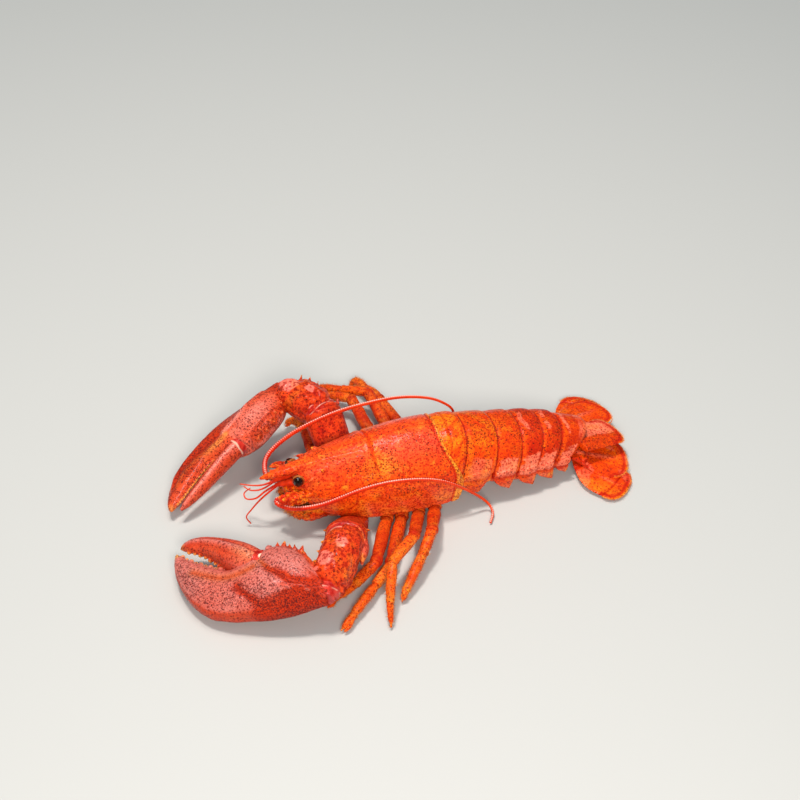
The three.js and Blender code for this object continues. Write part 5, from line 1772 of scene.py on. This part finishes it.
def teeth(stations, plan, side, inner):
    """A row of teeth along an edge, alternately large and small: their skins and their tops."""
    skins, tops = [], []
    for n in range(plan["count"]):
        t = n / (plan["count"] - 1)
        x = plan["start"] + (plan["stop"] - plan["start"]) * t
        size = plan["radius"] * (1 - 0.35 * t) * (0.78 if n % 2 else 1.05)
        way = vec(0, inner * side, 0.1)
        place = vec(x, inner * edge_at(stations, x, side), 0.6)
        skins.append(knob(place, (size, size * 1.1, size * 1.15), way))
        tops.append(place + unit(way) * size * 1.15)
    return skins, tops


# Lines over the claws' upper faces, [x, y] in the claw's frame.
CRUSHER_SEAM = [[49, 4.5], [42.9, 1.3], [35.3, -2.1], [26.7, -3.4], [19.9, -4.8], [11.9, -2.9], [5, 0]]
CRUSHER_HOLLOW = [
    [50, -18.5],
    [44.5, -21.5],
    [37.6, -23.6],
    [31, -25],
    [25, -23],
    [19, -18.5],
    [12, -13],
    [3, -8.5],
]
CRUSHER_TOOTH_LINE = [[84, -15.5], [68.3, -15.6], [57.3, -12.9], [48.9, -6.9], [45.8, -3.4]]
CUTTER_KEEL = [[8, -7.5], [20.8, -7.9], [32.9, -4.6], [41.2, -4.3], [50, -5]]
CUTTER_RIDGE = [[50, -2], [56, -3.5], [62.1, -6.7], [71.8, -9.8], [82.9, -11.9], [96, -9.5]]
CUTTER_GULLY = [[52, -8], [60, -13], [72, -16.2], [84, -16.6], [98, -11.5]]


def near_lines(p, *lines):
    """How far each point is from some lines over the claw's face."""
    return [distance_to(p[:, :2], between(line, 4)) for line in lines]


def carve_crusher(p, edge):
    """Relief and colour zones on the crusher claw's palm; y is positive towards the inner edge."""
    x, y, _ = p.T
    near_seam, near_hollow, near_teeth = near_lines(p, CRUSHER_SEAM, CRUSHER_HOLLOW, CRUSHER_TOOTH_LINE)
    widen = 2.0 + 2.6 * fade(x, 40, 22)
    amount = -1.15 * bell(near_seam, 1.9) - 1.5 * bell(near_hollow, widen + 1.2)
    amount -= 0.55 * bell(near_teeth, 2.6)
    swell = 0.9 * bell(np.hypot((x - 33) / 14, (y + 11) / 6), 1)
    swell += 0.8 * bell(np.hypot((x - 28) / 16, (y - 9) / 7), 1)
    long = (x - 11) * 0.91 - (y + 14) * 0.41
    wide = (x - 11) * 0.41 + (y + 14) * 0.91
    basin = fade(np.hypot(long / 14, wide / 6) + 0.12 * drift(p, 3, 44), 1.15, 0.8)
    amount -= 0.8 * basin
    ragged = 1 + 0.35 * drift(p, 2.5, 46)
    broad = 2.6 + 2.8 * fade(x, 30, 14)
    deep = bell(near_seam, broad * ragged) * fade(x, 46, 32) + 0.4 * bell(near_seam, 1.2)
    deep += np.maximum(bell(near_hollow, (widen + 0.8) * ragged), basin) + 0.6 * bell(near_teeth, 2.0)
    gold = 0.2 * bell(near_teeth, 3.2) + 0.25 * bell(near_seam, 1.5) * fade(x, 28, 36)
    deep += 0.45 * fade(edge, 1.6, 0.4)
    wander = drift(p, 10, 31)
    fleck = 0.6 * fade(y, -6, -20) * fade(edge, 1.5, 5) + 0.5 * bell(near_seam + 4, 9) + 0.2 * wander
    fleck += 0.5 * bell(near_hollow, widen + 2) + 0.3 * basin
    # Rosy coral over the face, away from the outer edge and the dark zones: partly the claw's own coral tone,
    # partly a painted sheen.
    rosy = (0.85 + 0.25 * wander) * fade(edge, 0.6, 2.4) * (1 - np.clip(deep, 0, 1))
    return amount + swell, rosy, gold, deep, fleck


def carve_cutter(p, edge):
    """Relief and colour zones on the cutter claw's palm."""
    x, y, _ = p.T
    near_keel, near_ridge, near_gully = near_lines(p, CUTTER_KEEL, CUTTER_RIDGE, CUTTER_GULLY)
    beyond = fade(y, -5, -9)
    amount = 0.9 * bell(near_keel, 1.6) + 0.7 * bell(near_ridge, 1.8) - 0.8 * bell(near_gully, 2.2)
    amount -= 1.1 * beyond * bell((y + 13) / 5, 1) * fade(x, 8, 18)
    shelf = fade(x, 4, 12) * fade(x, 47, 40)
    amount += (0.9 * bell(y - 11, 1.8) - 0.5 * bell(y - 4.5, 3.5)) * shelf
    wander = drift(p, 9, 37)
    gold = 0.45 * bell(near_ridge, 2)
    deep = 0.85 * beyond * fade(edge, 0.5, 2) + 0.4 * bell(near_gully, 2)
    brink = fade(y, 12.8, 13.8) * shelf
    deep += 0.55 * fade(y, 10.5, 12) * shelf * (1 - brink)
    # Rosy in the palm's middle and along the keel is a painted highlight.
    middle = bell(np.hypot((x - 28) / 15, (y - 4) / 7), 1)
    rosy = 0.95 * middle + 0.8 * bell(near_keel, 1.5) + 0.7 * brink
    fleck = 0.25 + 0.3 * wander + 0.25 * beyond
    return amount, rosy, gold, deep, fleck


def claw(word):
    shape = CLAWS[word]
    inner = shape["inner"]
    crusher = word == "left"
    skins = [
        limb(mirrored(shape["palm"], inner), 96, 8, power=shape["power"], heading=(1, 0, 0)),
        limb(mirrored(shape["hinge"], inner), 24, 8, face=(1, 0, 0)),
    ]
    bumps, tops = teeth(shape["palm"], shape["fixed_teeth"], 1, inner)
    skins += bumps
    plan = shape["thorns"]
    growth = np.random.default_rng(6).uniform(0.5, 1.1, plan["count"])
    tips = []
    for n in range(plan["count"]):
        x = plan["start"] + (plan["stop"] - plan["start"]) * n / (plan["count"] - 1)
        root = vec(x, inner * (edge_at(shape["palm"], x, 1) - 1.3), plan["lifts"][n % 2])
        way = unit(vec(0.5 * crusher - 0.3 * (n % 3 == 1), inner, 0.35))
        length = plan["length"] * growth[n]
        skins.append(spine(root, way, length, plan["radius"]))
        tips.append(root + way * length)
    mesh = fused(f"claw_{word}", skins, 0.46)
    p = points_of(mesh) * vec(1, inner, 1)
    up = normals_of(mesh)[:, 2]
    edge = p[:, 1] - edge_at(shape["palm"], p[:, 0], -1)
    carve = carve_crusher if crusher else carve_cutter
    amount, *colours, fleck = carve(p, edge)
    amount = amount * fade(up, -0.05, 0.35)
    rosy, gold, deep = np.array(colours) * fade(up, -0.65, -0.25)
    near_top = nearest(p, mirrored(tops, inner))
    near_tip = nearest(p, mirrored(tips, inner))
    point = nearest(p, [vec(*shape["palm"][-1][:2], 0.8)])
    white = fade(near_top, 2.8 if crusher else 1.5, 0.5) + (0.9 if crusher else 0.4) * fade(point, 6, 2)
    hinge = distance_to(p, np.array(shape["hinge"])[:, :3])
    swollen = 2.6 if crusher else 3.3
    amount = amount * fade(near_top, 1, 4) * fade(near_tip, 1, 4)
    push(mesh, amount + 0.25 * drift(p, 2.5, 19) * fade(near_tip, 4, 2))
    gold = gold + 0.95 * white + (0.5 if crusher else 0.2) * fade(near_tip, 2.6, 0.6)
    rosy = rosy * fade(near_tip, 3, 6) + (0.6 if crusher else 0.35) * fade(hinge, swollen + 0.8, swollen)
    deep = deep + 0.8 * fade(p[:, 0] + 1.5 * drift(p, 3, 48), 8, 4)
    calm = fade(near_top, 3, 1.5) + fade(near_tip, 2.5, 1)
    mask(mesh, rosy=rosy, gold=gold, deep=deep * fade(near_top, 2, 5), fleck=fleck, calm=calm)
    shell = CLAW_SHELLS[word]
    shell_piece(f"claw_shell_{word}", mesh, claw_frame(shape), shell, "claw_shell", f"claw_{word}")


def claw_finger(word):
    shape = CLAWS[word]
    inner = shape["inner"]
    crusher = word == "left"
    root = shape["knuckle"][-1]
    stations = [root, *(row for row in shape["finger"] if row[0] > root[0] + 1.5)]
    skins = [limb(mirrored(stations, inner), 64, 10, power=2.2, heading=(1, 0, 0))]
    bumps, tops = teeth(shape["finger"], shape["finger_teeth"], -1, inner)
    skins += bumps
    mesh = fused(f"claw_finger_{word}", skins, 0.42)
    p = points_of(mesh) * vec(1, inner, 1)
    upper = fade(normals_of(mesh)[:, 2], 0, 0.4)
    rows = np.asarray(shape["finger"], float)
    middle = np.interp(p[:, 0], rows[:, 0], rows[:, 1])
    width = np.interp(p[:, 0], rows[:, 0], rows[:, 3])
    across = (p[:, 1] - middle) / width
    point = nearest(p, [rows[-1, :3]])
    groove = bell((across + 0.35) * width, 1.3) * fade(p[:, 0], rows[0, 0] + 6, rows[0, 0] + 14)
    ridge = bell((across - 0.25) * width, 1.8) * fade(p[:, 0], rows[0, 0] + 4, rows[0, 0] + 12)
    brim = crusher * bell((across - 0.42) * width, 1.0) * fade(point, 8, 20)
    push(mesh, (0.5 * ridge - 0.6 * groove - 0.5 * brim) * upper)
    near_top = nearest(p, mirrored(tops, inner))
    base = fade(p[:, 0], rows[0, 0] + 24, rows[0, 0] + 8)
    gold = 0.85 * fade(near_top, 1.9, 0.5)
    gold += crusher * (0.5 * fade(point, 5, 1.5) + 0.2 * base * bell(across, 0.5))
    # Rosy on the upward faces, strongest along the ridge, is mostly a painted highlight; at the base it is
    # the finger's own peach tone.
    rosy = (0.75 * ridge + 0.25 * bell(across - 0.1, 0.4) + 0.3 * base) * upper
    deep = (0.55 * groove + 0.7 * brim) * upper + (0.15 if crusher else 0.35) * fade(across, 0.3, 1)
    fleck = 0.1 + 0.12 * drift(p, 8, 33)
    mask(mesh, rosy=rosy, gold=gold, deep=deep, fleck=fleck, calm=fade(near_top, 2.5, 1))
    shell = CLAW_SHELLS[word]
    shell_piece(f"finger_shell_{word}", mesh, claw_frame(shape), shell, "claw_shell", f"claw_finger_{word}")


def sleeve(start, end, profile, flatness):
    """Stations from one joint towards the next: (distance along, half width) at each."""
    start = vec(*start)
    ahead = unit(vec(*end) - start)
    return [[*(start + ahead * t), r, r * flatness] for t, r in profile]


def claw_joints(word):
    """The soft skin at the wrist's two ends and at the root of the moving finger."""
    arm, shape = ARMS[word], CLAWS[word]
    profile = ((-2, 10), (1.5, 11.6), (4.5, 11.9), (8, 10.5))
    rows = sleeve(arm["upper"][3][:3], arm["wrist"][1][:3], profile, 0.84)
    joint_skin(f"elbow_skin_{word}", rows, 2.5, TABLE)
    start, end = arm["wrist"][3][:3], shape["place"]
    reach = np.linalg.norm(vec(*end) - start)
    profile = ((1, 8.3), (reach * 0.6, 8.4), (reach + 1, 7.4), (reach + 5, 6))
    joint_skin(f"hand_skin_{word}", sleeve(start, end, profile, 0.9), 2, TABLE)
    rows = mirrored(shape["knuckle"][:-1], shape["inner"])
    pale = 1.0 if word == "left" else 0.6
    joint_skin(f"finger_skin_{word}", rows, 1.5, claw_frame(shape), pale)


# ---- walking legs --------------------------------------------------------------------------------

# Joints of each walking leg from the body out.
LEGS = {
    "leg_left_1": [
        [-6, -6, 5],
        [-8.5, -20, 5.5],
        [-14.7, -68, 13],
        [-27.5, -82, 8],
        [-39.5, -90.5, 4.6],
        [-46, -95, 2.6],
    ],
    "leg_left_2": [
        [3, -5, 5],
        [1, -18, 5],
        [-5.6, -63, 6.5],
        [-14.7, -80.5, 6],
        [-29, -107, 4.5],
        [-35.5, -116, 2.4],
    ],
    "leg_left_3": [
        [13, -1, 5],
        [12, -14, 5.5],
        [8.7, -53, 21],
        [-4.6, -74.5, 19.5],
        [-6, -99, 9.5],
        [-5.2, -113, 2],
    ],
    "leg_left_4": [
        [21, 3, 5],
        [22.5, -9, 5.5],
        [20, -42, 15.5],
        [14.4, -59, 12],
        [3.5, -85, 5],
        [1.2, -91, 2.2],
    ],
    "leg_right_1": [
        [-46, 22, 6.5],
        [-55, 34, 7],
        [-63, 62, 9.5],
        [-64.5, 70, 9.5],
        [-74, 79, 7],
        [-79, 78, 4],
    ],
    "leg_right_2": [
        [-8, 28, 5],
        [-12, 42, 6.5],
        [-33.5, 91, 16.5],
        [-50, 98, 13],
        [-80, 104, 6],
        [-92, 104, 3],
    ],
    "leg_right_3": [
        [3, 32, 5],
        [0, 46, 6.5],
        [-22, 95.5, 18],
        [-40, 103, 14.5],
        [-60, 111.5, 9],
        [-72, 114, 4],
    ],
    "leg_right_4": [
        [13, 35, 5],
        [11, 49, 6.5],
        [-15, 95, 14],
        [-23.5, 108.5, 11],
        [-31.5, 122, 8],
        [-36, 117.5, 3],
    ],
}
LEG_WAISTS = (4, 4.1, 3.7, 3.2, 2.5, 0.8)  # half widths at the joints
LEG_BELLIES = (4.1, 4.2, 3.7, 3.2, 2.0)  # and between them
LEG_HAIR = (0, 0, 0.25, 0.8, 1)  # how bristly each of the five pieces is
LEG_FLATNESS = 0.84
LEG_RELIEF = {
    "Swell Size": 5.0,
    "Swell Height": 0.2,
    "Grain Height": 0.1,
    "Pit Spacing": 1.7,
    "Pit Depth": 0.1,
}
PINCER_LEGS = ("_1", "_2")  # the two front pairs end in a small pincer


def leg(name, seed):
    """A walking leg of five pieces, each one slipping into the flared end of the one before."""
    joints = [vec(*joint) for joint in LEGS[name]]
    skins, share, hairy, cuffs = [], [], [], []
    for i, (a, b) in enumerate(zip(joints[:-1], joints[1:])):
        last = i == len(joints) - 2
        reach = np.linalg.norm(b - a)
        sag = vec(0, 0, 0.02 * reach)
        waist, belly, end = LEG_WAISTS[i], LEG_BELLIES[i], LEG_WAISTS[i + 1]
        shape = [(-0.04, waist * 0.72), (0.06, waist * 0.9), (0.4, belly), (0.75, (belly + end) / 2)]
        if last:
            shape += [(0.9, end * 0.85), (0.97, end * 0.55), (1, 0.25)]
        else:
            shape += [(0.93, end * 1.1), (1, end), (1.02, end * 0.8)]
        rows = []
        for t, r in shape:
            place = a + (b - a) * t + sag * np.sin(np.pi * min(max(t, 0), 1))
            rows.append([*place, r, r * LEG_FLATNESS])
        skin = limb(rows, 28, max(3, int(reach / 6)), power=2.2)
        skins.append(skin)
        t = ((skin[0] - a) @ (b - a)) / reach**2
        share.append(t)
        hairy.append(LEG_HAIR[i] * fade(t, 0, 0.3))
        cuffs.append(fade(t, 0.9, 1.0) * (not last))
    if name.endswith(PINCER_LEGS):
        hand, tip = joints[-2:]
        across = unit(np.cross((0, 0, 1), tip - hand))
        start, end = hand + across, tip + (hand - tip) * 0.08 + across * 2.4
        middle = start + (end - start) * 0.6 + across * 0.9
        skin = limb([[*start, 1.3, 1.3], [*middle, 1.2, 1.2], [*end, 0.4, 0.4]], 16, 6)
        skins.append(skin)
        share.append(np.full(len(skin[0]), 0.5))
        hairy.append(np.full(len(skin[0]), 0.8))
        cuffs.append(np.zeros(len(skin[0])))
    mesh = new_mesh(name, *merged(skins))
    p = points_of(mesh)
    t, hair, cuff = np.concatenate(share), np.concatenate(hairy), np.concatenate(cuffs)
    wander = drift(p, 7, seed)
    push(mesh, 0.22 * drift(p, 3.5, seed + 50) - 0.35 * bell((t - 0.86) * 20, 1.2))
    gold = 0.35 * fade(wander, 0, 0.8) + 0.12 * cuff + 0.6 * hair * fade(t, 0.7, 1)
    # Darker red where the mask gives no bristles, mostly the two pieces next to the body: partly the shell's
    # own tone, partly a painted shade under the body.
    deep = 0.4 * fade(wander, -0.1, -0.9) + 0.5 * (hair == 0) + 0.6 * fade(t, 0.1, 0.0)
    deep += 0.35 * bell((t - 0.97) * 20, 0.8)
    rosy = 0.3 * fade(wander, 0.3, 0.9) * (t < 0.8)
    mask(mesh, gold=gold, deep=deep, rosy=rosy, fleck=0.1 + 0.2 * wander, hairy=hair)
    piece = shell_piece(f"{name}_shell", mesh, TABLE, LEG_SHELL, "tail_shell", name, **LEG_RELIEF)
    bristles = {"Density": 1.0, "Length": 1.8, "Radius": 0.1, "Lean": 0.5, "Seed": seed}
    hair_piece(f"{name}_bristles", piece, BRISTLE, "tail_shell", **bristles)


# ---- long feelers --------------------------------------------------------------------------------

FEELERS = {
    "left": [
        [-75.6, -21.5, 24],
        [-77.9, -20.6, 22.4],
        [-76.4, -23.4, 21],
        [-66, -26.6, 20.4],
        [-48, -27.2, 24.5],
        [-22, -22.6, 33.5],
        [0, -18, 36],
        [23.4, -11.6, 31],
        [41, -7.5, 20.5],
        [54.8, -4.4, 7.7],
        [59.6, -9.6, 3],
        [57.9, -19, 1.8],
    ],
    "right": [
        [-84.6, -2.6, 24.5],
        [-86.9, 5.8, 26],
        [-85.8, 14, 29],
        [-78.8, 21.4, 33.5],
        [-65.2, 27.3, 41],
        [-44, 34.6, 48],
        [-22.7, 41.5, 50.8],
        [-1, 49.6, 49.8],
        [19, 55.6, 44.5],
        [32, 57.6, 36.5],
        [35.4, 58.8, 28.6],
        [30.4, 60.5, 23.5],
        [24.5, 63.5, 21.5],
    ],
}


def feeler(word):
    mesh = ringed(f"feeler_{word}", FEELERS[word], FEELER_RADIUS, 0.8, 1.5, 16, TABLE, 0.9)
    settle(f"long_feeler_{word}", mesh, FEELER, f"feeler_{word}")


# ---- table, light and camera ---------------------------------------------------------------------


TABLE_HALF = 4  # metres
# Lights and camera in metres: place, the point aimed at, size and watts.
KEY_LIGHT = ((-0.5, 0.28, 2.6), (0, 0, 0), (0.32, 0.32), 42)
OVERHEAD_LIGHT = ((-0.1, 0.12, 1.1), (0, 0, 0.02), (0.5, 0.18), 4.5)
FRONT_LIGHT = ((0.1, -1.2, 0.85), (0, 0, 0.02), (0.55, 0.3), 18)
CAMERA_PLACE = (0, -0.89805, 0.79593)  # before the origin was moved to OUTLINE_CENTRE
CAMERA_TILT = 51.702  # degrees up from straight down
CAMERA_LENS = 83.16  # millimetres, on a sensor 36 wide


def table():
    h = TABLE_HALF
    mesh = new_mesh("table", [(-h, -h, 0), (h, -h, 0), (h, h, 0), (-h, h, 0)], [(0, 1, 2, 3)])
    material, _, shader, _ = new_finish("table")
    even(shader, Base_Color=colour("#bcb6ae"), Roughness=0.55)
    mesh.materials.append(material)
    with_object(mesh)


def softbox(name, place, aim, size, watts, glossy=True):
    light = bpy.data.lights.new(name, "AREA")
    light.shape = "RECTANGLE"
    light.size, light.size_y = size
    light.energy = watts
    obj = with_object(light)
    obj.location = place
    obj.visible_glossy = glossy
    way = unit(vec(*aim) - vec(*place))
    side = unit(np.cross(way, (0, 0, 1)))
    up = np.cross(side, way)
    obj.rotation_euler = Matrix(np.stack([side, up, -way], 1)).to_euler()


def studio():
    scene = bpy.context.scene
    world = bpy.data.worlds.new("studio")
    world.use_nodes = True
    even(world.node_tree.nodes["Background"], Color=colour("#ccecff"), Strength=0.42)
    world.cycles_visibility.glossy = False
    scene.world = world
    softbox("key", *KEY_LIGHT, glossy=False)
    softbox("overhead", *OVERHEAD_LIGHT)
    softbox("front", *FRONT_LIGHT, glossy=False)
    scene.view_settings.view_transform = "Standard"
    camera = bpy.data.cameras.new("camera")
    camera.lens = CAMERA_LENS
    camera.sensor_width = 36
    scene.camera = with_object(camera)
    scene.camera.location = vec(*CAMERA_PLACE) - vec(*OUTLINE_CENTRE) * MM
    scene.camera.rotation_euler = (np.radians(CAMERA_TILT), 0, 0)


# ---- the whole animal ----------------------------------------------------------------------------

carapace()
breastplate()
for number in range(len(RINGS)):
    tail_plate(number)
for blade_name in BLADES:
    blade(blade_name)
face()
for word in SIDES:
    eye(word)
    feeler_base(word)
    feelerets(word)
    jaw_foot(word)
    upper_arm(word)
    wrist(word)
    claw(word)
    claw_finger(word)
    claw_joints(word)
    feeler(word)
for number, leg_name in enumerate(LEGS):
    leg(leg_name, number)
table()
studio()
